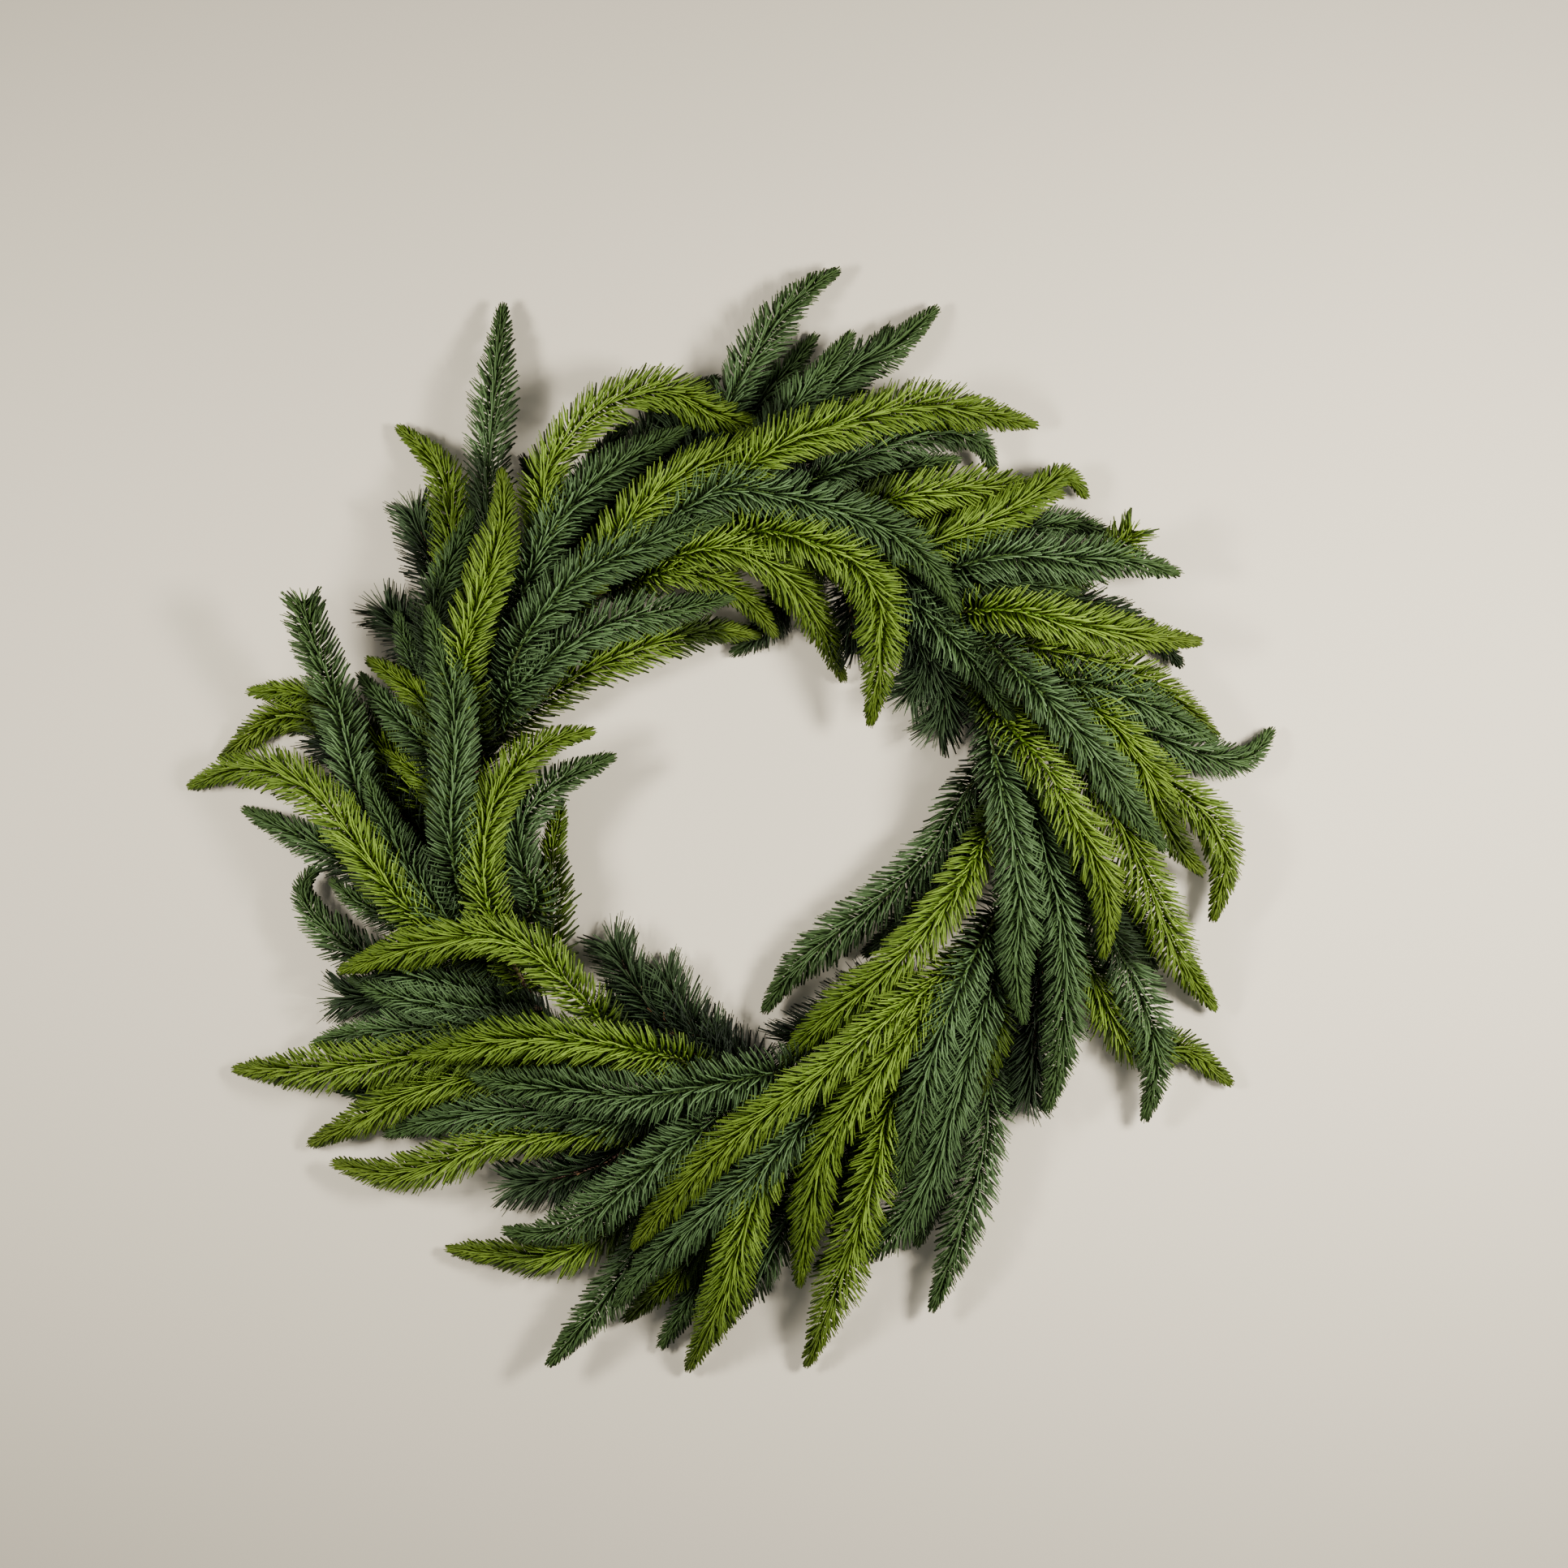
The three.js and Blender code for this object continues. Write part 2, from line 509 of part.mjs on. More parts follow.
// A stem as the few straight pieces that its solid is made of.
function stemKnots({ samples, length }) {
  const count = Math.max(3, Math.round(length / STEM_STEP_LENGTH));
  return Array.from({ length: count + 1 }, (_, index) => {
    const share = index / count;
    const { x, y, height } = samples[Math.round(share * (samples.length - 1))];
    return { point: new THREE.Vector3(x, y, height), radius: stemRadius(share) };
  });
}

function stemRadius(share) {
  if (share < SWELL_SHARE) {
    return lerp(STEM_ROOT_RADIUS, STEM_BODY_RADIUS, share / SWELL_SHARE);
  }
  return lerp(STEM_BODY_RADIUS, STEM_TIP_RADIUS, (share - SWELL_SHARE) / (1 - SWELL_SHARE));
}

// The way along a stem at each knot, and two directions square to it.
function framesAlong(knots) {
  return knots.map((knot, index) => {
    const before = knots[Math.max(0, index - 1)].point;
    const after = knots[Math.min(knots.length - 1, index + 1)].point;
    const along = after.clone().sub(before).normalize();
    const across = along.clone().cross(UP).normalize();
    const over = across.clone().cross(along);
    return { along, across, over };
  });
}

function stemSolid(knots) {
  const steps = knots.length - 1;
  const frames = framesAlong(knots);
  const bar = new THREE.CylinderGeometry(1, 1, 1, STEM_SIDES, steps);
  const { position } = bar.attributes;
  for (let index = 0; index < position.count; index += 1) {
    const knot = Math.round((position.getY(index) + 0.5) * steps);
    const { point, radius } = knots[knot];
    const { across, over } = frames[knot];
    const corner = point.clone()
      .addScaledVector(across, -position.getX(index) * radius)
      .addScaledVector(over, -position.getZ(index) * radius);
    position.setXYZ(index, corner.x, corner.y, corner.z);
  }
  return solidFrom(bar);
}

function needleSolid(needle) {
  const { start, end, radius } = needle;
  const along = end.clone().sub(start);
  const cone = new THREE.ConeGeometry(radius, along.length(), NEEDLE_SIDES);
  cone.translate(0, along.length() / 2, 0);
  cone.applyQuaternion(new THREE.Quaternion().setFromUnitVectors(CONE_AXIS, along.normalize()));
  cone.translate(start.x, start.y, start.z);
  return solidFrom(cone);
}

// Straight pieces with a thickness, which needles keep clear of.
function barrier(owner, from, to, radius) {
  return { owner, line: new THREE.Line3(from, to), radius };
}

function stemBarriers(owner, knots) {
  return knots.slice(1).map((knot, index) => (
    barrier(owner, knots[index].point, knot.point, Math.max(knot.radius, knots[index].radius))
  ));
}

function ringBarriers() {
  const onRing = (index) => {
    const angle = (2 * Math.PI * index) / RING_STEPS;
    return new THREE.Vector3(RING_RADIUS * Math.cos(angle), RING_RADIUS * Math.sin(angle), RING_CENTRE_Z);
  };
  return Array.from({ length: RING_STEPS }, (_, index) => (
    barrier("ring", onRing(index), onRing(index + 1), RING_WIRE_RADIUS)
  ));
}

function isClear(owner, needle, barriers) {
  if (needle.end.z < FLOOR_GAP || needle.start.z < FLOOR_GAP) {
    return false;
  }
  const line = new THREE.Line3(needle.start, needle.end);
  const own = needle.radius * NEEDLE_WIDTH_SHARE + NODE_GAP;
  return barriers.every((other) => (
    other.owner === owner || line.distanceSqToLine3(other.line) > (other.radius + own) ** 2
  ));
}

// One needle at its place on the stem, turned aside or laid closer to the stem where
// another spray is in its way, or none where every way is barred.
function growNeedle(owner, kind, place, barriers) {
  const { point, frame, radius, turn, open, length } = place;
  for (const opening of OPENINGS_TRIED) {
    for (const aside of TURNS_ASIDE) {
      const outward = frame.across.clone().multiplyScalar(Math.cos(turn + aside * FACE_TURN))
        .addScaledVector(frame.over, Math.sin(turn + aside * FACE_TURN));
      const way = outward.clone().multiplyScalar(Math.sin(open * opening))
        .addScaledVector(frame.along, Math.cos(open * opening));
      const start = point.clone().addScaledVector(outward, radius * NEEDLE_FOOT_SHARE);
      const end = start.clone().addScaledVector(way, length + NEEDLE_SUNK);
      const needle = { start, end, radius: kind.thick / 2 };
      if (isClear(owner, needle, barriers)) {
        return needle;
      }
    }
  }
  return null;
}

// Needles stand on the faces of the stem in turn, out to the tip.
function growSpray(owner, kind, stem, knots, barriers, seed) {
  const frames = framesAlong(knots);
  const count = Math.round((stem.length * (1 - kind.bare)) / kind.pitch);
  const needles = [];
  for (let index = 0; index <= count; index += 1) {
    const share = lerp(kind.bare, 1, index / count);
    const along = Math.min(share * (knots.length - 1), knots.length - 1.001);
    const knot = Math.floor(along);
    const open = THREE.MathUtils.degToRad(lerp(kind.open, kind.close, share));
    const taper = Math.max(0, (share - TAPER_FROM) / (1 - TAPER_FROM));
    const place = {
      point: knots[knot].point.clone().lerp(knots[knot + 1].point, along - knot),
      frame: frames[knot],
      radius: lerp(knots[knot].radius, knots[knot + 1].radius, along - knot),
      turn: FIRST_FACE + (seed + index) * FACE_TURN,
      open: index === count ? open * TIP_OPEN_SHARE : open,
      length: kind.length * lerp(1, TIP_NEEDLE_SHARE, taper),
    };
    const needle = growNeedle(owner, kind, place, barriers);
    if (needle) {
      needles.push(needle);
      barriers.push(barrier(owner, needle.start, needle.end, needle.radius * NEEDLE_WIDTH_SHARE));
    }
  }
  return needles;
}

function makeRing() {
  const section = Array.from({ length: RING_SIDES + 1 }, (_, index) => {
    const angle = (2 * Math.PI * (index % RING_SIDES)) / RING_SIDES;
    const outward = RING_RADIUS + RING_WIRE_RADIUS * Math.cos(angle);
    return new THREE.Vector2(outward, RING_WIRE_RADIUS * Math.sin(angle));
  });
  const ring = new THREE.LatheGeometry(section, RING_STEPS);
  ring.rotateX(Math.PI / 2);
  ring.translate(0, 0, RING_CENTRE_Z);
  return meshFrom("wire_ring", solidFrom(ring), STEEL.colour, STEEL.roughness, STEEL.metalness);
}

function makeBranches() {
  const stems = BRANCHES.flatMap((branch) => branch.sprays.map((spray) => layStem(branch, spray)));
  settle(stems);
  for (const stem of stems) {
    stem.knots = stemKnots(stem);
  }
  const stemPieces = stems.flatMap(({ branch, knots }) => stemBarriers(branch.name, knots));
  const barriers = [...ringBarriers(), ...stemPieces];
  const grown = new Map(BRANCHES.map((branch) => [branch, []]));
  stems.forEach((stem, index) => {
    const { branch, knots } = stem;
    const needles = growSpray(branch.name, KINDS[branch.kind], stem, knots, barriers, index);
    grown.get(branch).push(stemSolid(knots), ...needles.map(needleSolid));
  });
  return BRANCHES.map((branch) => {
    const solid = wasm.Manifold.union(grown.get(branch));
    return meshFrom(branch.name, solid, KINDS[branch.kind].colour, FOLIAGE_ROUGHNESS, 0);
  });
}

const wreath = new THREE.Group();
wreath.add(makeRing(), ...makeBranches());
const footprint = new THREE.Box3().setFromObject(wreath).getCenter(new THREE.Vector3());
wreath.position.set(-footprint.x, -footprint.y, 0);

const model = new THREE.Group();
model.add(wreath);

export default model;
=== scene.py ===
"""An evergreen wreath that lies face up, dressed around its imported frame."""

import functools
import math

import bmesh
import bpy
import numpy as np
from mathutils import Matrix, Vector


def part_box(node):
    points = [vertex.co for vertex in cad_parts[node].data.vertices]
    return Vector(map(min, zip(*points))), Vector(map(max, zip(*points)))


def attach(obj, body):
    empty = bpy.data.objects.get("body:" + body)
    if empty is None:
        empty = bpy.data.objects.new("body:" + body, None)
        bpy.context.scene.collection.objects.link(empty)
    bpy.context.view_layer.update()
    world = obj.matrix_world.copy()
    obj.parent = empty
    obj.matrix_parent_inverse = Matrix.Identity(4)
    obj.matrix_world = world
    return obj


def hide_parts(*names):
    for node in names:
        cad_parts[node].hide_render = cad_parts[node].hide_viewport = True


bl_info = {
    "name": "Evergreen Wreath",
    "version": (1, 0, 0),
    "blender": (4, 5, 0),
    "location": "3D View > Sidebar > Wreath",
    "description": "Dresses a wreath's frame with needle sprays, stems, ring and binding wire",
    "category": "Object",
}

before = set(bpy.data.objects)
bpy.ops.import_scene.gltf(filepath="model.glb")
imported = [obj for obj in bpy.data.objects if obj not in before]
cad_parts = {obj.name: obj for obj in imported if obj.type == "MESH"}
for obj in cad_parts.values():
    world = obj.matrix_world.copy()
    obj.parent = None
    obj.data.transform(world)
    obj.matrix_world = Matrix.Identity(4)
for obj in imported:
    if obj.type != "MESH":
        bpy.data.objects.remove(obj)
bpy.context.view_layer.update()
MM = 0.001

# The ring: its middle is where every angle and every point of a spray starts. Lengths are in
# millimetres, also below, where nothing else is said.
RING_LOW, RING_HIGH = (np.array(corner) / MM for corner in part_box("wire_ring"))
RING_CENTRE = (RING_LOW + RING_HIGH) / 2
RING_RADIUS = 152.0
RING_WIRE_RADIUS = 2.5
RING_CENTRE_Z = RING_WIRE_RADIUS * math.sin(math.pi / 3)
RING_MIDDLE_Z = 2.7

# How the picture's pixels lie on the wreath, seen from straight above.
PHOTO_CENTRE_PIXEL = np.array((966.0, 966.0))
RING_CENTRE_PIXEL = np.array((922.0, 1020.0))
PHOTO_PIXELS = 1932
MM_PER_PIXEL = 0.45
CAMERA_HEIGHT = 2000.0
SENSOR_MM = 36.0

# The studio: where the lights stand before the ring's middle, and the floor's painted pool of light,
# brightest here and painted darker away from there. In metres.
LIGHT_COLOUR = (1.0, 0.965, 0.92)
LIGHT_FORWARD = 0.1
SKY_COLOUR = (0.93, 0.96, 1.0, 1.0)
FLOOR_REACH = 12.0
FLOOR_PAINTED_LIGHT_CENTRE = (0.09, 0.0, 0.0)
FLOOR_PAINTED_LIGHT_WITHIN = 0.22
FLOOR_PAINTED_FALLOFF_OVER = 0.45
FLOOR_PAINTED_FALLOFF_LEVEL = 0.55

# Stems: where a spray is highest, and how crossing stems come to rest on each other.
STEM_ROOT_RADIUS = 1.4
TIP_REACH = 7.0
SEAT_GAP = 0.3
ROOT_Z = 2 * RING_CENTRE_Z + SEAT_GAP + STEM_ROOT_RADIUS
CREST_SHARE = 0.4
SAMPLE_LENGTH = 5.0
REACH_AT_ROOT = 2.0
REACH_OF_BODY = 5.4
REACH_GROWS_OVER = 40.0
FLOOR_CLEARANCE = 3.2
SETTLING_PASSES = 400
PUSH_SHARE = 0.35
STIFFNESS = 0.24
CURVE_DIVISIONS = 200

# Every branch: node, kind of foliage, angle of its foot on the ring in degrees, and its
# sprays, each with the heights of its middle and tip before it settles, and the picture's
# pixels that it passes on its way from the ring to its tip.
BRANCHES = (
    ("light_01", "light", 141, (
        (44, 30, ((672, 660), (670, 592), (704, 534), (762, 491), (820, 481), (882, 510), (955, 532))),
        (62, 52, ((742, 690), (790, 625), (850, 580), (920, 557), (980, 546), (1050, 548))),
    )),
    ("light_02", "light", 109, (
        (58, 14, ((890, 605), (970, 545), (1050, 519), (1130, 498), (1205, 507), (1281, 524))),
        (66, 34, ((925, 657), (1000, 668), (1055, 695), (1083, 740), (1085, 805), (1072, 896))),
    )),
    ("light_03", "light", 121, (
        (56, 8, ((835, 686), (900, 676), (945, 693), (985, 730), (1015, 780), (1041, 843))),
        (46, 26, ((775, 718), (835, 702), (890, 718), (930, 748), (957, 786))),
    )),
    ("light_04", "light", 79, (
        (34, 22, ((1030, 638), (1090, 617), (1160, 604), (1235, 601), (1312, 610))),
        (46, 12, ((1085, 688), (1150, 668), (1215, 643), (1270, 612), (1314, 584), (1342, 615))),
    )),
    ("light_05", "light", 162, (
        (24, 16, ((655, 872), (700, 838), (780, 802), (860, 778), (938, 782))),
    )),
    ("light_06", "light", 43, (
        (24, 46, ((1250, 725), (1320, 705), (1368, 680), (1408, 643))),
        (16, 12, ((1240, 745), (1290, 724), (1340, 722))),
    )),
    ("light_07", "light", 50, (
        (60, 34, ((1190, 752), (1250, 752), (1320, 768), (1400, 783), (1484, 791))),
        (30, 16, ((1230, 790), (1290, 800), (1360, 818), (1425, 848), (1470, 880), (1503, 910))),
    )),
    ("light_08", "light", 24, (
        (40, 22, ((1300, 860), (1355, 880), (1400, 930), (1430, 1000), (1453, 1043), (1484, 1078))),
        (26, 20, ((1320, 890), (1386, 925), (1440, 966), (1488, 1006), (1510, 1060), (1495, 1135))),
    )),
    ("light_09", "light", 36, (
        (66, 52, ((1235, 882), (1285, 940), (1330, 1020), (1362, 1095), (1361, 1182))),
        (44, 12, ((1270, 872), (1330, 940), (1383, 1020), (1420, 1100), (1453, 1180), (1500, 1246))),
    )),
    ("light_10", "light", 353, (
        (16, 8, ((1310, 1125), (1342, 1190), (1372, 1255), (1410, 1292), (1455, 1291), (1519, 1337))),
    )),
    ("light_11", "light", 10, (
        (60, 46, ((1222, 1020), (1172, 1105), (1110, 1180), (1045, 1235), (990, 1285), (960, 1322))),
    )),
    ("light_12", "light", 342, (
        (68, 44, ((1190, 1180), (1100, 1247), (1010, 1325), (940, 1375), (875, 1428), (822, 1485),
        (778, 1539))),
        (62, 22, ((1180, 1200), (1125, 1262), (1070, 1335), (1020, 1405), (1000, 1480), (984, 1588))),
    )),
    ("light_13", "light", 327, (
        (40, 10, ((1140, 1290), (1100, 1350), (1083, 1420), (1060, 1500), (1030, 1590), (993, 1686))),
        (22, 16, ((1225, 1240), (1215, 1290), (1205, 1352))),
    )),
    ("light_14", "light", 289, (
        (50, 10, ((975, 1402), (935, 1460), (912, 1530), (890, 1600), (846, 1693))),
        (14, 8, ((960, 1400), (900, 1480), (840, 1562), (768, 1628))),
    )),
    ("light_15", "light", 259, (
        (18, 8, ((810, 1440), (754, 1510), (695, 1545), (630, 1546), (549, 1539))),
        (30, 14, ((760, 1385), (680, 1397), (610, 1405), (545, 1433), (480, 1446), (407, 1433))),
    )),
    ("light_16", "light", 241, (
        (34, 8, ((660, 1322), (575, 1327), (510, 1345), (440, 1382), (378, 1411))),
        (40, 8, ((650, 1300), (560, 1296), (480, 1308), (390, 1317), (284, 1318))),
    )),
    ("light_17", "light", 265, (
        (64, 46, ((850, 1312), (780, 1292), (700, 1282), (620, 1282), (560, 1293), (506, 1301))),
    )),
    ("light_18", "light", 246, (
        (62, 36, ((745, 1262), (700, 1212), (655, 1170), (600, 1153), (540, 1160), (475, 1177),
        (415, 1198))),
    )),
    ("light_19", "light", 217, (
        (20, 22, ((676, 1180), (680, 1120), (680, 1055), (692, 985))),
        (60, 44, ((600, 1100), (597, 1020), (625, 958), (672, 916), (734, 900))),
    )),
    ("light_20", "light", 187, (
        (24, 12, ((500, 960), (440, 890), (380, 856), (303, 851))),
        (12, 6, ((490, 980), (420, 905), (355, 880), (270, 936))),
    )),
    ("light_21", "light", 210, (
        (54, 6, ((545, 1150), (490, 1105), (440, 1040), (395, 985), (340, 950), (285, 948), (228, 971))),
    )),
    ("light_22", "light", 192, (
        (24, 18, ((572, 960), (530, 870), (490, 835), (455, 812))),
        (24, 16, ((570, 1020), (530, 965), (475, 925))),
    )),
    ("light_23", "light", 165, (
        (62, 58, ((572, 820), (590, 740), (608, 685), (620, 635), (618, 577))),
        (30, 8, ((568, 760), (556, 655), (548, 590), (529, 561), (488, 524))),
    )),
    ("dark_01", "dark", 124, (
        (62, 44, ((830, 640), (890, 605), (960, 610), (1030, 628), (1095, 655), (1145, 695), (1183, 755))),
    )),
    ("dark_02", "dark", 116, (
        (22, 12, ((840, 600), (890, 510), (925, 445), (965, 385), (1000, 352), (1035, 332))),
        (12, 6, ((870, 600), (935, 495), (975, 450), (1006, 411))),
    )),
    ("dark_03", "dark", 104, (
        (34, 10, ((920, 592), (988, 518), (1036, 460), (1091, 433), (1157, 377))),
        (38, 36, ((915, 582), (985, 492), (1027, 441), (1052, 408))),
        (14, 12, ((960, 580), (1040, 480), (1078, 430), (1098, 400))),
    )),
    ("dark_04", "dark", 96, (
        (34, 16, ((970, 612), (1040, 572), (1110, 540), (1175, 530), (1210, 545), (1225, 584))),
        (14, 10, ((985, 612), (1085, 583), (1185, 565))),
        (12, 10, ((1000, 650), (1080, 645), (1160, 632), (1235, 615))),
    )),
    ("dark_05", "dark", 159, (
        (58, 50, ((650, 785), (700, 722), (765, 685), (835, 655), (905, 638))),
        (44, 42, ((655, 835), (700, 795), (765, 763), (840, 750), (906, 735))),
        (40, 34, ((636, 848), (688, 806), (735, 790))),
    )),
    ("dark_06", "dark", 150, (
        (30, 12, ((608, 730), (600, 640), (605, 520), (612, 450), (620, 372))),
        (42, 30, ((650, 720), (690, 640), (740, 590), (800, 552), (850, 525))),
    )),
    ("dark_07", "dark", 133, (
        (16, 10, ((740, 650), (780, 570), (835, 500), (887, 463))),
        (14, 8, ((690, 680), (682, 628), (642, 560))),
        (18, 14, ((704, 690), (716, 615), (748, 552), (776, 520))),
    )),
    ("dark_08", "dark", 175, (
        (40, 34, ((548, 850), (534, 765), (552, 700), (585, 628))),
        (32, 28, ((540, 930), (520, 850), (503, 800), (488, 752))),
        (42, 34, ((560, 960), (515, 905), (470, 865), (440, 828))),
    )),
    ("dark_09", "dark", 74, (
        (30, 24, ((1060, 692), (1110, 730), (1160, 775), (1205, 825), (1245, 890))),
        (10, 6, ((968, 730), (945, 774), (900, 807))),
        (38, 30, ((1060, 672), (1120, 705), (1155, 745), (1190, 792))),
    )),
    ("dark_10", "dark", 58, (
        (52, 30, ((1185, 697), (1240, 684), (1310, 688), (1385, 690), (1456, 707))),
        (14, 8, ((1200, 680), (1260, 655), (1320, 645), (1378, 662))),
        (36, 26, ((1160, 712), (1225, 714), (1280, 722), (1330, 730))),
        (20, 10, ((1250, 745), (1330, 745), (1390, 765), (1432, 792), (1457, 822))),
    )),
    ("dark_11", "dark", 29, (
        (28, 8, ((1310, 862), (1380, 890), (1440, 913), (1490, 932), (1535, 935), (1571, 897))),
        (34, 22, ((1300, 838), (1370, 853), (1430, 878), (1500, 915))),
    )),
    ("dark_12", "dark", 46, (
        (66, 46, ((1212, 790), (1260, 832), (1310, 882), (1352, 932), (1392, 992), (1438, 1050))),
    )),
    ("dark_13", "dark", 32, (
        (60, 50, ((1226, 940), (1248, 1030), (1257, 1110), (1252, 1190), (1262, 1262))),
        (46, 24, ((1265, 980), (1290, 1060), (1309, 1140), (1313, 1220), (1307, 1300), (1289, 1372))),
    )),
    ("dark_14", "dark", 4, (
        (30, 14, ((1310, 1060), (1356, 1130), (1395, 1205), (1419, 1270), (1424, 1325), (1409, 1382))),
        (20, 12, ((1300, 1015), (1352, 1078), (1394, 1136), (1424, 1198))),
    )),
    ("dark_15", "dark", 18, (
        (26, 14, ((1195, 970), (1150, 1045), (1090, 1105), (1025, 1155), (975, 1200), (940, 1248))),
        (14, 10, ((1207, 1000), (1168, 1080), (1112, 1140), (1062, 1178))),
    )),
    ("dark_16", "dark", 347, (
        (54, 40, ((1215, 1150), (1175, 1230), (1145, 1310), (1125, 1390), (1104, 1471))),
        (46, 12, ((1222, 1200), (1197, 1290), (1172, 1370), (1147, 1450), (1095, 1520), (1003, 1563))),
    )),
    ("dark_17", "dark", 322, (
        (22, 16, ((1215, 1310), (1216, 1390), (1199, 1465), (1176, 1540), (1148, 1617))),
        (16, 12, ((1135, 1330), (1085, 1400), (1048, 1470), (1026, 1530))),
        (14, 10, ((1185, 1340), (1164, 1425), (1142, 1500), (1128, 1538))),
    )),
    ("dark_18", "dark", 303, (
        (46, 28, ((1020, 1352), (960, 1415), (895, 1472), (835, 1525), (790, 1570), (757, 1610))),
        (20, 8, ((1030, 1410), (968, 1508), (923, 1577), (864, 1658))),
    )),
    ("dark_19", "dark", 281, (
        (16, 8, ((930, 1450), (880, 1550), (845, 1610), (812, 1662))),
        (24, 26, ((880, 1430), (812, 1502), (769, 1570), (725, 1625), (674, 1684))),
        (52, 26, ((930, 1350), (855, 1398), (785, 1452), (715, 1503), (660, 1522), (617, 1516))),
    )),
    ("dark_20", "dark", 295, (
        (60, 38, ((975, 1318), (885, 1335), (800, 1350), (720, 1345), (650, 1338), (576, 1323))),
    )),
    ("dark_21", "dark", 254, (
        (36, 20, ((770, 1378), (700, 1370), (620, 1370), (550, 1378), (471, 1398))),
    )),
    ("dark_22", "dark", 236, (
        (36, 16, ((660, 1270), (580, 1268), (500, 1270), (430, 1275), (381, 1288))),
        (14, 6, ((620, 1320), (560, 1340), (480, 1350), (412, 1342))),
    )),
    ("dark_23", "dark", 221, (
        (30, 22, ((600, 1245), (540, 1240), (480, 1225), (428, 1205))),
        (22, 16, ((570, 1218), (490, 1195), (425, 1165), (380, 1120), (373, 1090), (395, 1068))),
    )),
    ("dark_24", "dark", 206, (
        (44, 36, ((660, 1110), (638, 1060), (642, 1010), (685, 965), (759, 930))),
        (66, 56, ((572, 1110), (556, 1040), (558, 960), (560, 880), (545, 810), (527, 745))),
        (14, 12, ((640, 1110), (624, 1040), (632, 980), (642, 935))),
    )),
    ("dark_25", "dark", 202, (
        (40, 58, ((535, 1110), (470, 1050), (438, 970), (423, 895), (401, 825), (382, 775), (370, 727))),
        (30, 8, ((560, 1140), (480, 1090), (400, 1045), (296, 996))),
    )),
    ("dark_26", "dark", 214, (
        (28, 18, ((570, 1170), (490, 1135), (435, 1108), (405, 1082))),
        (38, 30, ((560, 1140), (505, 1070), (475, 1010), (452, 950))),
    )),
    ("pine_01", "pine", 107, (
        (16, 20, ((850, 620), (845, 560), (832, 512))),
    )),
    ("pine_02", "pine", 170, (
        (16, 14, ((560, 760), (532, 690), (506, 620))),
        (14, 14, ((560, 840), (512, 790), (466, 744))),
    )),
    ("pine_03", "pine", 197, (
        (14, 12, ((500, 1010), (445, 945), (393, 903))),
    )),
    ("pine_04", "pine", 227, (
        (12, 12, ((560, 1232), (470, 1230), (412, 1228))),
    )),
    ("pine_05", "pine", 271, (
        (18, 18, ((860, 1300), (800, 1240), (748, 1152))),
        (14, 16, ((880, 1305), (845, 1255), (812, 1190))),
        (10, 12, ((925, 1320), (897, 1300), (868, 1262))),
        (12, 12, ((860, 1320), (795, 1285), (738, 1232))),
    )),
    ("pine_06", "pine", 250, (
        (12, 12, ((760, 1425), (690, 1450), (622, 1460))),
    )),
    ("pine_07", "pine", 310, (
        (12, 12, ((1090, 1220), (1020, 1262), (962, 1290))),
    )),
    ("pine_08", "pine", 357, (
        (18, 14, ((1280, 1180), (1275, 1280), (1265, 1366))),
    )),
    ("pine_09", "pine", 67, (
        (22, 20, ((1145, 805), (1112, 866))),
        (16, 16, ((1165, 850), (1150, 906))),
        (16, 14, ((1048, 750), (1060, 808))),
    )),
)

# Stems as they are seen: their radii run from foot to body and end.
STEM_SIDES = 6
STEM_RADIUS_SHARES = (0, 0.25, 0.8, 1)
STEM_NARROWS_TO = 0.85

# One needle before it is bent: its sides, and its rings as height and radius.
NEEDLE_SIDES = 3
NEEDLE_RINGS = ((0.0, 0.7), (0.5, 1.0), (1.0, 0.5))

# What every vertex of a needle knows: how far along its needle it is, its random tone with its row's
# painted shade, how far other sprays cover it for painted shade, how far along its spray, and the spray's own
# tone.
NEEDLE_VALUES = ("needle_along", "needle_tone_and_painted_shade", "needle_cover", "spray_along", "spray_tone")

# Rows of needles: the azimuth of each row round the stem in degrees, how far on its needles
# stand as a share of the step to the next, how far they open beside the habit's own angles,
# and how light they are painted, with painted shade darkest under the stem and alternating between rows.
FLAT_ROWS = (
    (16, 0.2, 0.75, 0.9), (-16, 0.7, 0.75, 0.9), (42, 0.5, 0.95, 0.6), (-42, 0.0, 0.95, 0.6),
    (64, 0.3, 1.0, 0.4), (-64, 0.8, 1.0, 0.4), (88, 0.0, 1.0, 0.6), (-88, 0.5, 1.0, 0.6),
    (112, 0.6, 1.0, 0.05), (-112, 0.1, 1.0, 0.05),
)
ROUND_ROWS = (
    (12, 0.0, 0.8, 0.8), (-12, 0.5, 0.8, 0.8), (38, 0.5, 1.0, 0.8), (-38, 0.0, 1.0, 0.8),
    (64, 0.1, 1.0, 0.6), (-64, 0.6, 1.0, 0.6), (90, 0.6, 1.0, 0.4), (-90, 0.1, 1.0, 0.4),
    (116, 0.2, 1.0, 0.2), (-116, 0.7, 1.0, 0.2), (150, 0.3, 1.0, 0.1), (-150, 0.8, 1.0, 0.1),
)

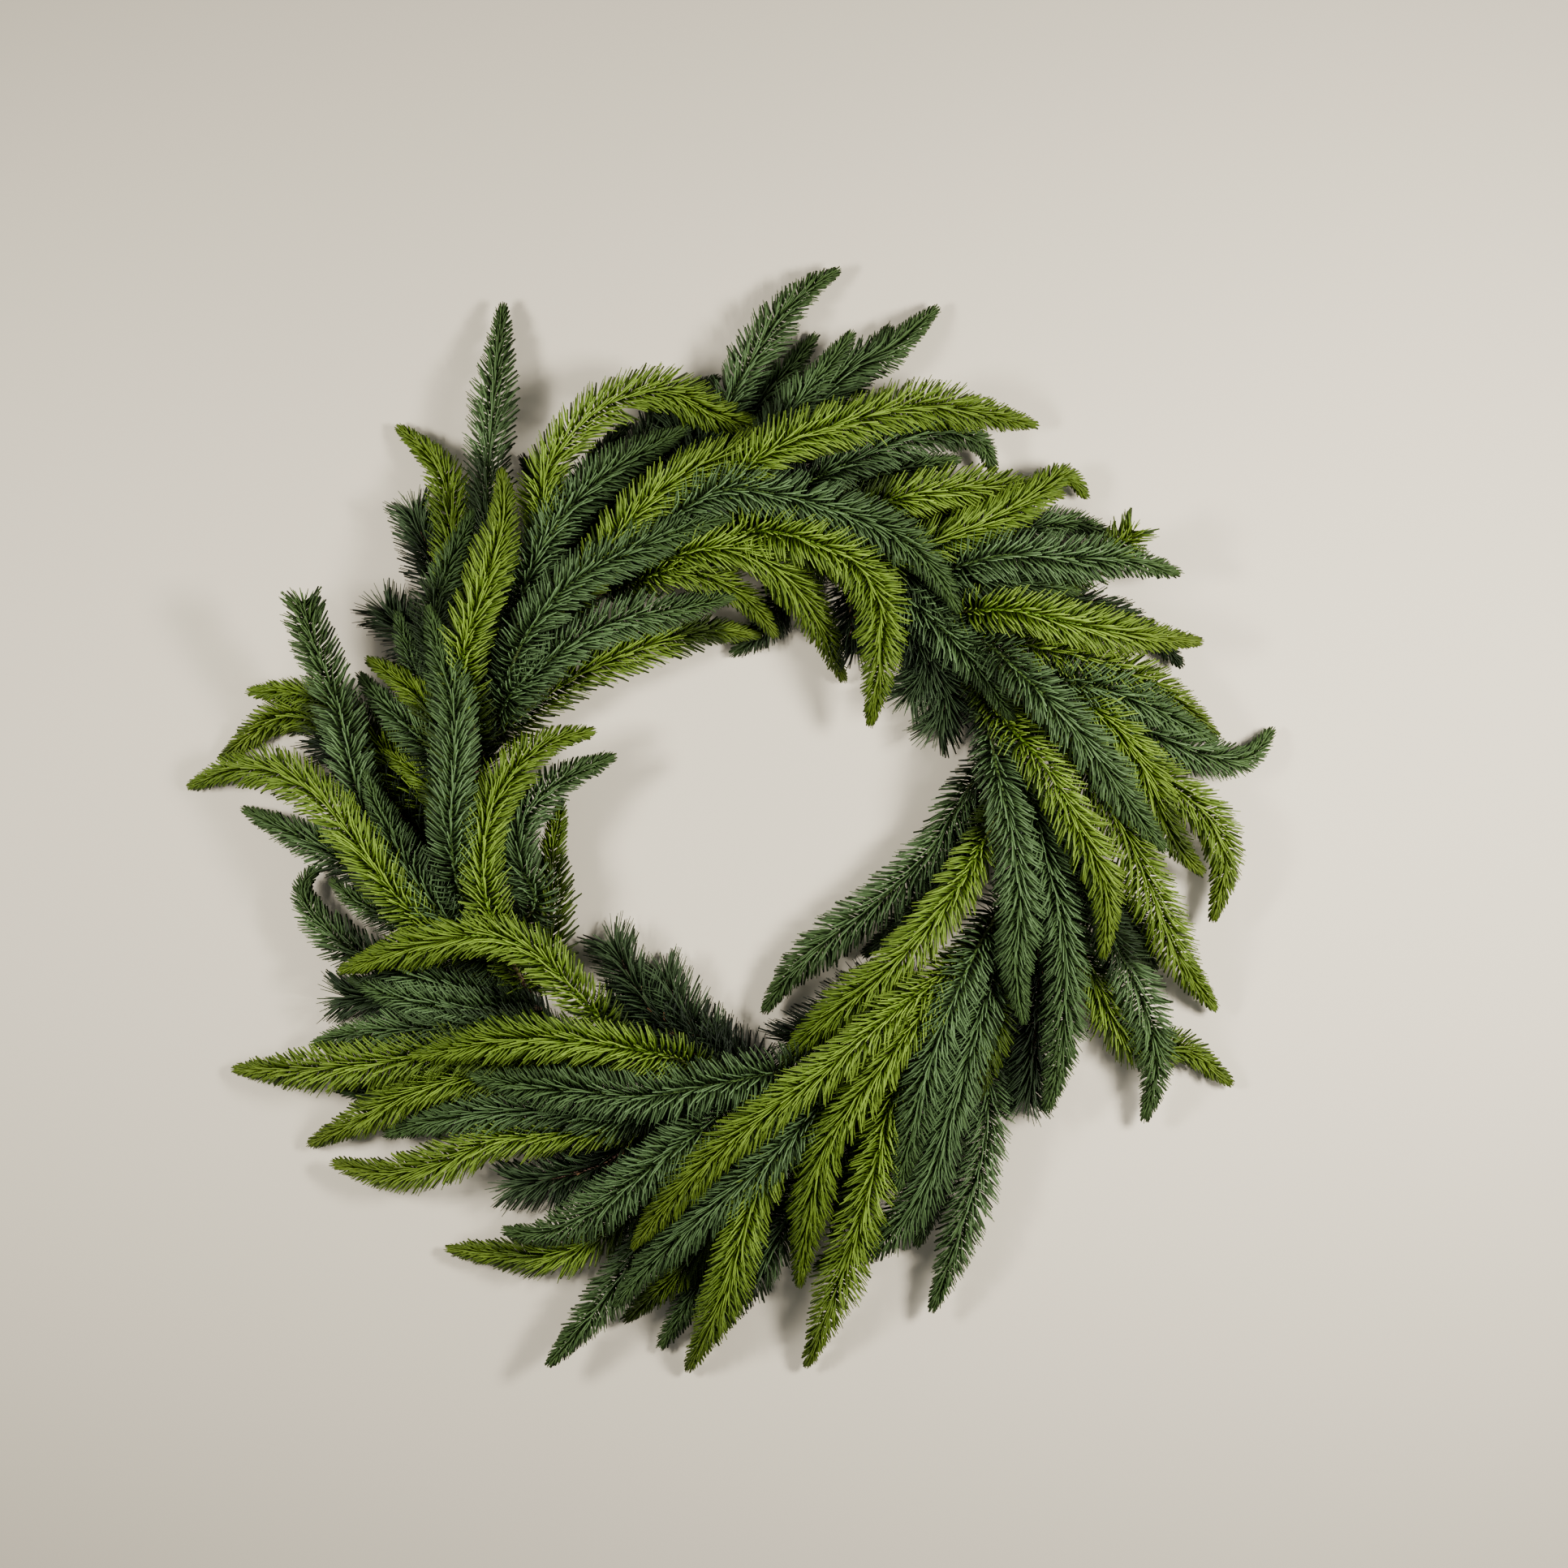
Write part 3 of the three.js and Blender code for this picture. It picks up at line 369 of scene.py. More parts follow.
# The habit of each kind of foliage. Body and end: how far the needles open from the stem at
# their foot and at their tip, along the spray and at its end, in degrees. Splay: how far the
# tips stray sideways, in degrees. Bare: the share of the stem without needles. End length: the
# end's needles beside the others. Bud: how far the last needles close and how much longer they
# are. Stem: the radius at foot, body and end in millimetres. Coloured end: the share of the
# spray from which the needles take the end's colour.
HABITS = {
    "light": {
        "rows": FLAT_ROWS, "body": (68, 40), "end": (60, 28), "splay": 6, "bare": 0.02,
        "end_length": 0.32, "bud": (0.75, 0.4), "stem": (1.3, 0.8, 0.5), "coloured_end": 0.5,
    },
    "dark": {
        "rows": FLAT_ROWS, "body": (73, 46), "end": (64, 33), "splay": 6, "bare": 0.02,
        "end_length": 0.32, "bud": (0.75, 0.4), "stem": (1.3, 0.8, 0.5), "coloured_end": 0.6,
    },
    "pine": {
        "rows": ROUND_ROWS, "body": (66, 58), "end": (50, 44), "splay": 12, "bare": 0.04,
        "end_length": 0.85, "bud": (0.0, 0.0), "stem": (1.4, 1.0, 0.7), "coloured_end": 0.7,
    },
}

# The end of a spray: over what length and share of the stem the needles get shorter, how much
# closer the rows' needles stand there, how calm they are, and the length of the closed bud.
# A spray whose end is turned up this far over its middle keeps a fuller end without a bud.
TAPER_LENGTH = 50.0
TAPER_SHARE = 0.5
ROWS_GATHER = 1.15
LAST_STEP = 0.3
CALM_AT_END = 0.6
BUD_LENGTH = 6.0
UPTURNED_FROM = 10.0
UPTURNED_TAPER = 0.25

# The needles of the rows below this azimuth are wider, as a web under the others, darkened by painted shade.
UNDERSIDE_FROM_DEGREES = 100.0
UNDERSIDE_WIDTH = 2.2

# No two needles are alike. They stand in small groups whose tips lean together, and whole
# sprays are rolled and opened a little too. Angles are in degrees, the rest are shares.
SEED = 24
IN_GROUP = 3
GROUP_LEAN_DEGREES = 6.0
GROUP_TURN_DEGREES = 6.0
GROUP_OPEN_DEGREES = 4.0
NEEDLE_TURN_DEGREES = 5.0
NEEDLE_CLOSE_DEGREES = 3.5
NEEDLE_SHADE_NOISE = 0.12
NEEDLE_LENGTH_NOISE = 0.06
NEEDLE_THICKNESS_NOISE = 0.08
STEP_NOISE = 0.16
SPRAY_ROLL_DEGREES = 12.0
SPRAY_OPEN_DEGREES = 5.0

# Needles that reach the surface are pressed flat on it, within this film.
FLOOR_FILM = 0.5
FLOOR_SOFTNESS = 6.0
LEAST_CURVE = 0.001

# Needles that other sprays lie over get painted shade: how near a stem lies over them, and
# how high above before the painted shade starts and when they are wholly dark.
COVER_REACH = 15.0
COVER_FROM = 5.0
COVER_FULL = 24.0

# Dry brown scales that sit among the dark filler's needles.
SCALES_PER_TUFT = 18
SCALE_SHARE = (0.05, 0.75)
SCALE_TURN = (-2.0, 2.0)
SCALE_OPENING = (0.4, 1.4)
SCALE_CURL = (0.3, 1.1)
SCALE_SWAY = 0.3
SCALE_LENGTH = (4.0, 8.0)
SCALE_HALF_WIDTH = (0.7, 1.5)
SCALE_THICKNESS = 0.18

# The ring, its binding wire and the lashing that the wire makes over each foot.
RING_SIDES = 12
RING_STEPS = 144
RING_WIRE_SEEN = 2.0
BINDING_RADIUS = 0.35
BINDING_SEATED = 0.8
BINDING_SIDES = 5
BINDING_PITCH = 8.0
BINDING_STEPS_PER_TURN = 12
LASHING_DEGREES = 1.6
LASHING_HEIGHT = 3.4

# The needles' colouring, each as a share: the foot's painted shade and where it gives way to the body,
# the pale tip's painted highlight, the spray's coloured end, the painted shade of darker rows, darker
# sprays, weathered patches, and the painted shade of needles that other sprays cover.
PAINTED_SHADE_LEVEL = 0.12
FOOT_UNTIL = 0.05
FOOT_FADES = 2.6
TIP_POWER = 2.2
TIP_HIGHLIGHT_SHARE = 0.85
TIP_LESS_AT_END = 0.5
END_SHARE = 0.6
END_SHARE_BY_TONE = 0.35
PAINTED_ROW_SHADE_SHARE = 0.95
TONE_SHADE = 0.5
TONE_SHARE = 0.22
PATCH_SCALE = 160.0
PATCH_TINT = 1.12
PATCH_SHARE = 0.5
PATCH_LESS_AT_END = 0.3
PAINTED_COVER_SHADE = 0.1
PAINTED_COVER_SHARE = 0.85

# The stems' colouring: how soon bark gives way to green, and how unevenly.
STEM_GREEN = 1.7
STEM_GREEN_COMES = 4.5
STEM_UNEVEN = 1.6
STEM_GREEN_FROM = 0.15

# The wire's enamel: how worn a spot has to be to show metal, and the metal's colour.
WORN_FROM = 0.62
WORN_SHARPNESS = 9.0
WORN_COLOUR = (0.18, 0.17, 0.15, 1.0)


class Stem:
    """One spray's stem: where it runs, once the sprays have settled on each other."""

    def __init__(self, node, kind, root, crest, end, photo, number):
        self.node = node
        self.kind = kind
        self.crest = crest
        self.end = end
        self.number = number
        angle = math.radians(root)
        foot = (RING_RADIUS * math.cos(angle), RING_RADIUS * math.sin(angle))
        shares = (np.arange(len(photo)) + 1) / len(photo)
        plan = plan_points(photo, self.profile(shares))
        path, travelled = catmull_rom(np.vstack((foot, plan)))
        self.length = travelled[-1] - TIP_REACH
        count = int(self.length / SAMPLE_LENGTH + 0.5)
        self.share = np.arange(count + 1) / count
        along = self.share * self.length
        self.xy = np.stack([np.interp(along, travelled, path[:, axis]) for axis in (0, 1)], axis=1)
        self.reach = REACH_AT_ROOT + (REACH_OF_BODY - REACH_AT_ROOT) * np.minimum(1, along / REACH_GROWS_OVER)
        self.start = self.profile(self.share)
        from_ring = np.abs(np.hypot(*self.xy.T) - RING_RADIUS)
        self.lowest = np.where(from_ring < RING_WIRE_RADIUS + self.reach, ROOT_Z, FLOOR_CLEARANCE)
        self.height = self.start.copy()

    def profile(self, share):
        """The height before settling: up from the ring to the crest, then down to the tip."""
        rise = np.sin(np.pi / 2 * np.minimum(1, share / CREST_SHARE))
        fall = np.cos(np.pi / 2 * np.clip((share - CREST_SHARE) / (1 - CREST_SHARE), 0, 1))
        going_up = ROOT_Z + (self.crest - ROOT_Z) * rise
        going_down = self.end + (self.crest - self.end) * fall
        return np.where(share < CREST_SHARE, going_up, going_down)

    def points(self):
        """The settled stem's points in the row frame, in millimetres."""
        return np.column_stack((self.xy + RING_CENTRE[:2], self.height))


def plan_points(pixels, heights):
    """Pixels on the ring's plane: what stands higher looks further out, so it is drawn in."""
    inward = (1 - np.asarray(heights) / CAMERA_HEIGHT)[:, None]
    moved = (np.array(pixels, float) - PHOTO_CENTRE_PIXEL) * inward + PHOTO_CENTRE_PIXEL - RING_CENTRE_PIXEL
    return moved * MM_PER_PIXEL * (1, -1)


def catmull_rom(points):
    """A centripetal curve through the points, as closely spaced positions and their distance along it."""
    padded = np.vstack((2 * points[0] - points[1], points, 2 * points[-1] - points[-2]))
    spans = np.sqrt(np.linalg.norm(np.diff(padded, axis=0), axis=1))
    position = np.linspace(0, len(points) - 1, CURVE_DIVISIONS + 1)
    segment = np.minimum(position.astype(int), len(points) - 2)
    t = (position - segment)[:, None]
    p0, p1, p2, p3 = (padded[segment + step] for step in range(4))
    d0, d1, d2 = (spans[segment + step][:, None] for step in range(3))
    leave = d1 * ((p1 - p0) / d0 - (p2 - p0) / (d0 + d1) + (p2 - p1) / d1)
    arrive = d1 * ((p2 - p1) / d1 - (p3 - p1) / (d1 + d2) + (p3 - p2) / d2)
    cubic = 2 * p1 - 2 * p2 + leave + arrive
    square = -3 * p1 + 3 * p2 - 2 * leave - arrive
    path = p1 + leave * t + square * t**2 + cubic * t**3
    steps = np.linalg.norm(np.diff(path, axis=0), axis=1)
    return path, np.concatenate(([0], np.cumsum(steps)))


def contacts_between(first, second):
    """Sample pairs of two stems that pass too close in plan, with the upper one first."""
    across = np.linalg.norm(first.xy[:, None] - second.xy[None], axis=2)
    allowed = first.reach[:, None] + second.reach[None]
    near = across < allowed
    rows = near.any(axis=1)
    pairs = []
    begin = None
    for row in range(len(rows) + 1):
        inside = row < len(rows) and rows[row]
        if inside and begin is None:
            begin = row
        if not inside and begin is not None:
            a, b = np.nonzero(near[begin:row])
            a += begin
            closest = np.argmin(across[a, b])
            first_above = first.start[a[closest]] >= second.start[b[closest]]
            apart = np.sqrt(allowed[a, b] ** 2 - across[a, b] ** 2)
            pairs.append((a, b, apart, first_above))
            begin = None
    return pairs


def find_contacts(stems):
    """All contacts as indices into the joined samples: upper, lower and how far apart they must be."""
    offsets = np.cumsum([0] + [len(stem.share) for stem in stems])
    upper, lower, apart = [], [], []
    for i, first in enumerate(stems):
        for j in range(i + 1, len(stems)):
            second = stems[j]
            if first.node == second.node:
                continue
            for a, b, gap, first_above in contacts_between(first, second):
                a, b = a + offsets[i], b + offsets[j]
                upper.append(a if first_above else b)
                lower.append(b if first_above else a)
                apart.append(gap)
    return np.concatenate(upper), np.concatenate(lower), np.concatenate(apart)


def settle(stems):
    """The sprays come to rest on each other: crossing stems push apart and stay smooth curves."""
    upper, lower, apart = find_contacts(stems)
    start = np.concatenate([stem.start for stem in stems])
    lowest = np.concatenate([stem.lowest for stem in stems])
    offsets = np.cumsum([0] + [len(stem.share) for stem in stems])
    index = np.arange(offsets[-1])
    before = index - 1
    before[offsets[:-1]] = offsets[:-1]
    after = index + 1
    after[offsets[1:] - 1] = offsets[1:] - 1
    height = start.copy()
    for turn in range(SETTLING_PASSES):
        short = (apart - (height[upper] - height[lower])) * PUSH_SHARE
        lift = np.zeros_like(height)
        press = np.zeros_like(height)
        np.maximum.at(lift, upper, short)
        np.maximum.at(press, lower, short)
        moved = height + lift - press - start
        stiffness = STIFFNESS * (1 - turn / SETTLING_PASSES)
        eased = moved + stiffness * (moved[before] + moved[after] - 2 * moved)
        height = np.maximum(lowest, start + eased)
        height[offsets[:-1]] = ROOT_Z
    for stem, low, high in zip(stems, offsets[:-1], offsets[1:]):
        stem.height = height[low:high]


def find_cover(stems):
    """How deep each stem point lies under other sprays, for painted shade: 0 in the open, 1 deep inside."""
    places = np.vstack([np.column_stack((stem.xy, stem.height)) for stem in stems])
    for stem in stems:
        across = np.linalg.norm(stem.xy[:, None] - places[None, :, :2], axis=2)
        above = np.where(across < COVER_REACH, places[None, :, 2], 0).max(axis=1) - stem.height
        stem.cover = np.clip((above - COVER_FROM) / (COVER_FULL - COVER_FROM), 0, 1)


def needle_template():
    """One upright needle of unit length and radius, as vertex positions and triangles."""
    shape = bmesh.new()
    foot = NEEDLE_RINGS[0][1]
    bmesh.ops.create_circle(shape, cap_ends=True, segments=NEEDLE_SIDES, radius=foot)
    edges = list(shape.edges)
    for height, width in NEEDLE_RINGS[1:]:
        grown = bmesh.ops.extrude_edge_only(shape, edges=edges)["geom"]
        ring = {part for part in grown if isinstance(part, bmesh.types.BMVert)}
        edges = [part for part in grown if isinstance(part, bmesh.types.BMEdge)]
        edges = [edge for edge in edges if ring.issuperset(edge.verts)]
        for vert in ring:
            vert.co.xy = vert.co.xy.normalized() * width
            vert.co.z = height
    bmesh.ops.edgeloop_fill(shape, edges=edges)
    bmesh.ops.recalc_face_normals(shape, faces=shape.faces)
    bmesh.ops.triangulate(shape, faces=shape.faces)
    shape.verts.index_update()
    places = np.array([vert.co for vert in shape.verts])
    triangles = np.array([[vert.index for vert in face.verts] for face in shape.faces])
    shape.free()
    return places, triangles


def frames_along(points):
    """Unit directions along the points, across them level with the ground, and over them."""
    along = np.gradient(points, axis=0)
    along /= np.linalg.norm(along, axis=1, keepdims=True)
    across = np.cross(along, (0.0, 0.0, 1.0))
    across /= np.linalg.norm(across, axis=1, keepdims=True)
    return along, across, np.cross(across, along)


def on_stem(stem, share):
    """The stem's point and its three directions at each share of its length."""
    points = stem.points()
    return tuple(
        np.stack([np.interp(share, stem.share, values[:, axis]) for axis in range(3)], axis=1)
        for values in (points, *frames_along(points))
    )


def place_needles(stem, length, radius, spacing, random):
    """Where every needle of a spray stands, how it opens from the stem, and its size."""
    habit = HABITS[stem.kind]
    bare = habit["bare"]
    azimuths, phases, openness, painted_lightness = (np.array(part) for part in zip(*habit["rows"]))
    steps = int(stem.length * (1 - bare) / spacing)
    count = steps * len(azimuths)
    row = np.tile(np.arange(len(azimuths)), steps)
    step = np.repeat(np.arange(steps), len(azimuths))
    place = step + phases[row] + random.uniform(-STEP_NOISE, STEP_NOISE, count)
    spread = 1 - (1 - np.clip(place / (steps - LAST_STEP), 0, 1)) ** ROWS_GATHER
    share = bare + (1 - bare) * spread
    tapered = min(TAPER_LENGTH, TAPER_SHARE * stem.length)
    taper = np.clip(1 - (1 - share) * stem.length / tapered, 0, 1)
    bud = np.clip(1 - (1 - share) * stem.length / BUD_LENGTH, 0, 1)
    if stem.end > stem.crest + UPTURNED_FROM:
        taper = taper * UPTURNED_TAPER
        bud = np.zeros(count)
    left = azimuths[row] < 0
    group = 2 * ((step + left) // IN_GROUP) + left
    under = np.abs(azimuths[row]) > UNDERSIDE_FROM_DEGREES
    place_in_group = (step + left) % IN_GROUP - (IN_GROUP - 1) / 2
    lean = GROUP_LEAN_DEGREES * place_in_group * np.where(under, -1, 1)
    turned = random.normal(0, GROUP_TURN_DEGREES, group.max() + 1)[group]
    opened = random.normal(0, GROUP_OPEN_DEGREES, group.max() + 1)[group]
    opened = opened + SPRAY_OPEN_DEGREES * random.standard_normal() * (1 - taper)
    roll = SPRAY_ROLL_DEGREES * random.standard_normal()
    turn = np.radians(azimuths[row] + turned + roll + random.normal(0, NEEDLE_TURN_DEGREES, count))
    (leave, arrive), (end_leave, end_arrive) = habit["body"], habit["end"]
    bud_closed, bud_longer = habit["bud"]
    calm = 1 - CALM_AT_END * taper
    lean = (lean + random.normal(0, NEEDLE_CLOSE_DEGREES, count)) * calm
    point, along, across, over = on_stem(stem, share)
    wider = np.where(under, UNDERSIDE_WIDTH, 1.0)
    open_share = openness[row] * (1 - bud_closed * bud)
    size = length * (1 - (1 - habit["end_length"]) * taper) * (1 + bud_longer * bud)
    return {
        "root": point,
        "along": along,
        "outward": across * np.sin(turn)[:, None] + over * np.cos(turn)[:, None],
        "leaving": np.radians((leave + (end_leave - leave) * taper + opened) * open_share),
        "arriving": np.radians((arrive + (end_arrive - arrive) * taper + opened) * open_share + lean),
        "sway": np.radians(random.normal(0, habit["splay"], count) * calm),
        "length": size * random.normal(1, NEEDLE_LENGTH_NOISE, count),
        "half_width": radius * random.normal(1, NEEDLE_THICKNESS_NOISE, count),
        "half_thickness": radius * random.normal(1, NEEDLE_THICKNESS_NOISE, count) * wider,
        "share": share,
        # Painted shade: each row's painted lightness, with a little random tone.
        "tone_and_painted_shade": np.clip(random.normal(painted_lightness[row], NEEDLE_SHADE_NOISE), 0, 1),
        "cover": np.interp(share, stem.share, stem.cover),
    }


def place_scales(stem, random):
    """Dry scales on a filler stem, given in the same way as its needles."""
    share = random.uniform(*SCALE_SHARE, SCALES_PER_TUFT)
    turn = random.uniform(*SCALE_TURN, SCALES_PER_TUFT)
    leaving = random.uniform(*SCALE_OPENING, SCALES_PER_TUFT)
    point, along, across, over = on_stem(stem, share)
    return {
        "root": point,
        "along": along,
        "outward": across * np.sin(turn)[:, None] + over * np.cos(turn)[:, None],
        "leaving": leaving,
        "arriving": leaving - random.uniform(*SCALE_CURL, SCALES_PER_TUFT),
        "sway": random.normal(0, SCALE_SWAY, SCALES_PER_TUFT),
        "length": random.uniform(*SCALE_LENGTH, SCALES_PER_TUFT),
        "half_width": random.uniform(*SCALE_HALF_WIDTH, SCALES_PER_TUFT),
        "half_thickness": np.full(SCALES_PER_TUFT, SCALE_THICKNESS),
        "share": share,
        "tone_and_painted_shade": random.uniform(0, 1, SCALES_PER_TUFT),
        "cover": np.zeros(SCALES_PER_TUFT),
    }


def bend_needles(needles, template):
    """Every needle's vertices: the template curved forward along an arc from its stem."""
    upright = template[:, 2]
    start = needles["leaving"][:, None]
    curve = needles["arriving"][:, None] - start
    curve = np.where(np.abs(curve) < LEAST_CURVE, LEAST_CURVE, curve)
    angle = start + curve * upright
    length = needles["length"][:, None]
    thickness = needles["half_thickness"][:, None] * template[:, 1]
    width = needles["half_width"][:, None] * template[:, 0]
    width = width + needles["sway"][:, None] * length * upright**2 / 2
    away = (np.cos(start) - np.cos(angle)) / curve * length + thickness * np.cos(angle)
    ahead = (np.sin(angle) - np.sin(start)) / curve * length - thickness * np.sin(angle)
    side = np.cross(needles["along"], needles["outward"])
    places = (
        needles["root"][:, None]
        + needles["outward"][:, None] * away[..., None]
        + needles["along"][:, None] * ahead[..., None]
        + side[:, None] * width[..., None]
    )
    height = places[..., 2]
    pressed = FLOOR_FILM / (1 + np.maximum(0, FLOOR_FILM - height) / FLOOR_SOFTNESS)
    places[..., 2] = np.where(height < FLOOR_FILM, pressed, height)
    return places


def needles_mesh(name, groups, tones):
    """One mesh of all the needles: each group is placed needles and its material's number."""
    template, template_faces = needle_template()
    places, triangles, materials = [], [], []
    values = {title: [] for title in NEEDLE_VALUES}
    first = 0
    for (needles, material), tone in zip(groups, tones):
        count = len(needles["share"])
        size = len(template)
        places.append(bend_needles(needles, template).reshape(-1, 3))
        starts = first + np.arange(count) * size
        triangles.append((template_faces[None] + starts[:, None, None]).reshape(-1, 3))
        materials.append(np.full(count * len(template_faces), material))
        values["needle_along"].append(np.tile(template[:, 2], count))
        values["needle_tone_and_painted_shade"].append(np.repeat(needles["tone_and_painted_shade"], size))
        values["needle_cover"].append(np.repeat(needles["cover"], size))
        values["spray_along"].append(np.repeat(needles["share"], size))
        values["spray_tone"].append(np.full(count * size, tone))
        first += count * size
    places, triangles, materials = (np.concatenate(part) for part in (places, triangles, materials))
    mesh = bpy.data.meshes.new(name)
    mesh.vertices.add(len(places))
    mesh.vertices.foreach_set("co", (places * MM).astype(np.float32).ravel())
    mesh.loops.add(triangles.size)
    mesh.loops.foreach_set("vertex_index", triangles.astype(np.int32).ravel())
    mesh.polygons.add(len(triangles))
    mesh.polygons.foreach_set("loop_start", np.arange(0, triangles.size, 3, dtype=np.int32))
    mesh.polygons.foreach_set("material_index", materials.astype(np.int32))
    for title, numbers in values.items():
        layer = mesh.attributes.new(title, "FLOAT", "POINT")
        layer.data.foreach_set("value", np.concatenate(numbers).astype(np.float32))
    mesh.update(calc_edges=True)
    return mesh


def add_tube(shape, points, radii, sides, material=0, closed=False):
    """Sweeps a round tube along points in millimetres, and closes its ends or joins them."""
    tube = bmesh.new()
    share_layer = tube.verts.layers.float.new("spray_along")
    if closed:
        wrapped = np.vstack((points[-1:], points, points[:1]))
        along, across, over = (part[1:-1] for part in frames_along(wrapped))
    else:
        along, across, over = frames_along(points)
    turns = np.arange(sides) * 2 * np.pi / sides
    circle = across[:, None] * np.cos(turns)[:, None] + over[:, None] * np.sin(turns)[:, None]
    rings = (points[:, None] + circle * np.asarray(radii)[:, None, None]) * MM
    first = bmesh.ops.create_circle(tube, cap_ends=not closed, segments=sides, radius=1)["verts"]
    ring = first
    for step, places in enumerate(rings):
        if step:
            edges = {edge for vert in ring for edge in vert.link_edges if edge.other_vert(vert) in ring}
            grown = bmesh.ops.extrude_edge_only(tube, edges=list(edges))["geom"]
            new = {part for part in grown if isinstance(part, bmesh.types.BMVert)}
            ring = [next(e.other_vert(v) for e in v.link_edges if e.other_vert(v) in new) for v in ring]
        for vert, place in zip(ring, places):
            vert.co = place
            vert[share_layer] = step / (len(rings) - 1)
    if closed:
        ends = {e for loop in (first, ring) for v in loop for e in v.link_edges if e.other_vert(v) in loop}
        bmesh.ops.bridge_loops(tube, edges=list(ends))
    else:
        tube.faces.new(ring)
    bmesh.ops.recalc_face_normals(tube, faces=tube.faces)
    for face in tube.faces:
        face.material_index = material
    part = bpy.data.meshes.new("tube")
    tube.to_mesh(part)
    tube.free()
    shape.from_mesh(part)
    bpy.data.meshes.remove(part)


def stem_radii(stem, habit):
    """A stem's radius at each of its points: thick at the foot, slim to the tip."""
    foot, body, end = habit["stem"]
    return np.interp(stem.share, STEM_RADIUS_SHARES, (foot, body, body * STEM_NARROWS_TO, end))


def finish_piece(name, mesh, materials, node):
    """Puts the mesh in the scene as the piece that stands for a node of the frame."""
    for material in materials:
        mesh.materials.append(material)
    mesh.polygons.foreach_set("use_smooth", np.ones(len(mesh.polygons), dtype=bool))
    mesh.update()
    piece = bpy.data.objects.new(name, mesh)
    bpy.context.scene.collection.objects.link(piece)
    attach(piece, "root")
    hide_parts(node)


def dress_branch(node, stems, settings, materials):
    """A branch's sprays: needles, scales where it has them, and the stems that carry them."""
    kind = stems[0].kind
    length = getattr(settings, f"{kind}_length") / MM
    radius = getattr(settings, f"{kind}_radius") / MM
    spacing = getattr(settings, f"{kind}_spacing") / MM
    groups, tones = [], []
    for stem in stems:
        random = np.random.default_rng((SEED, stem.number))
        groups.append((place_needles(stem, length, radius, spacing, random), 0))
        tones.append(random.uniform(0, 1))
        if kind == "pine":
            groups.append((place_scales(stem, random), 2))
            tones.append(tones[-1])
    mesh = needles_mesh(f"{node}_spray", groups, tones)
    shape = bmesh.new()
    shape.from_mesh(mesh)
    for stem in stems:
        add_tube(shape, stem.points(), stem_radii(stem, HABITS[kind]), STEM_SIDES, material=1)
    shape.to_mesh(mesh)
    shape.free()
    finish_piece(f"{node}_spray", mesh, materials, node)


@functools.cache
def settled_stems():
    """All the stems at rest on the ring and on each other, by the node that they belong to."""
    stems = []
    for node, kind, root, sprays in BRANCHES:
        for crest, end, photo in sprays:
            stems.append(Stem(node, kind, root, crest, end, photo, len(stems)))
    settle(stems)
    find_cover(stems)
    by_node = {}
    for stem in stems:
        by_node.setdefault(stem.node, []).append(stem)
    return by_node


def binding_path():
    """The binding wire's middle: round the ring in a spiral, and up over each stem's foot."""
    turns = round(2 * math.pi * RING_RADIUS / BINDING_PITCH)
    steps = np.arange(turns * BINDING_STEPS_PER_TURN)
    phase = steps * 2 * np.pi / BINDING_STEPS_PER_TURN
    angle = steps * 2 * np.pi / len(steps)
    feet = np.radians([root for _, _, root, _ in BRANCHES])
    nearest = np.abs(np.angle(np.exp(1j * (angle[:, None] - feet[None])))).min(axis=1)
    over_foot = LASHING_HEIGHT * np.exp(-((np.degrees(nearest) / LASHING_DEGREES) ** 2))
    away = RING_WIRE_SEEN + BINDING_RADIUS * BINDING_SEATED
    radius = RING_RADIUS + away * np.sin(phase)
    upward = np.cos(phase)
    height = RING_MIDDLE_Z + away * upward + over_foot * np.maximum(0, upward)
    flat = np.stack((np.cos(angle) * radius, np.sin(angle) * radius), axis=1) + RING_CENTRE[:2]
    return np.column_stack((flat, height))


class Value:
    """A shader socket that takes part in Python expressions, which add Math nodes to its tree."""

    def __init__(self, shader, socket):
        self.shader = shader
        self.socket = socket

    def maths(self, operation, *values):
        inputs = dict(enumerate(values))
        return self.shader.node("ShaderNodeMath", {"operation": operation}, inputs)

    def __add__(self, other):
        return self.maths("ADD", self, other)

    def __sub__(self, other):
        return self.maths("SUBTRACT", self, other)

    def __mul__(self, other):
        return self.maths("MULTIPLY", self, other)

    def __pow__(self, other):
        return self.maths("POWER", self, other)

    def __radd__(self, other):
        return self.maths("ADD", other, self)

    def __rsub__(self, other):
        return self.maths("SUBTRACT", other, self)

    def __rmul__(self, other):
        return self.maths("MULTIPLY", other, self)

    def clamped(self):
        return self.shader.node("ShaderNodeClamp", {}, {"Value": self})


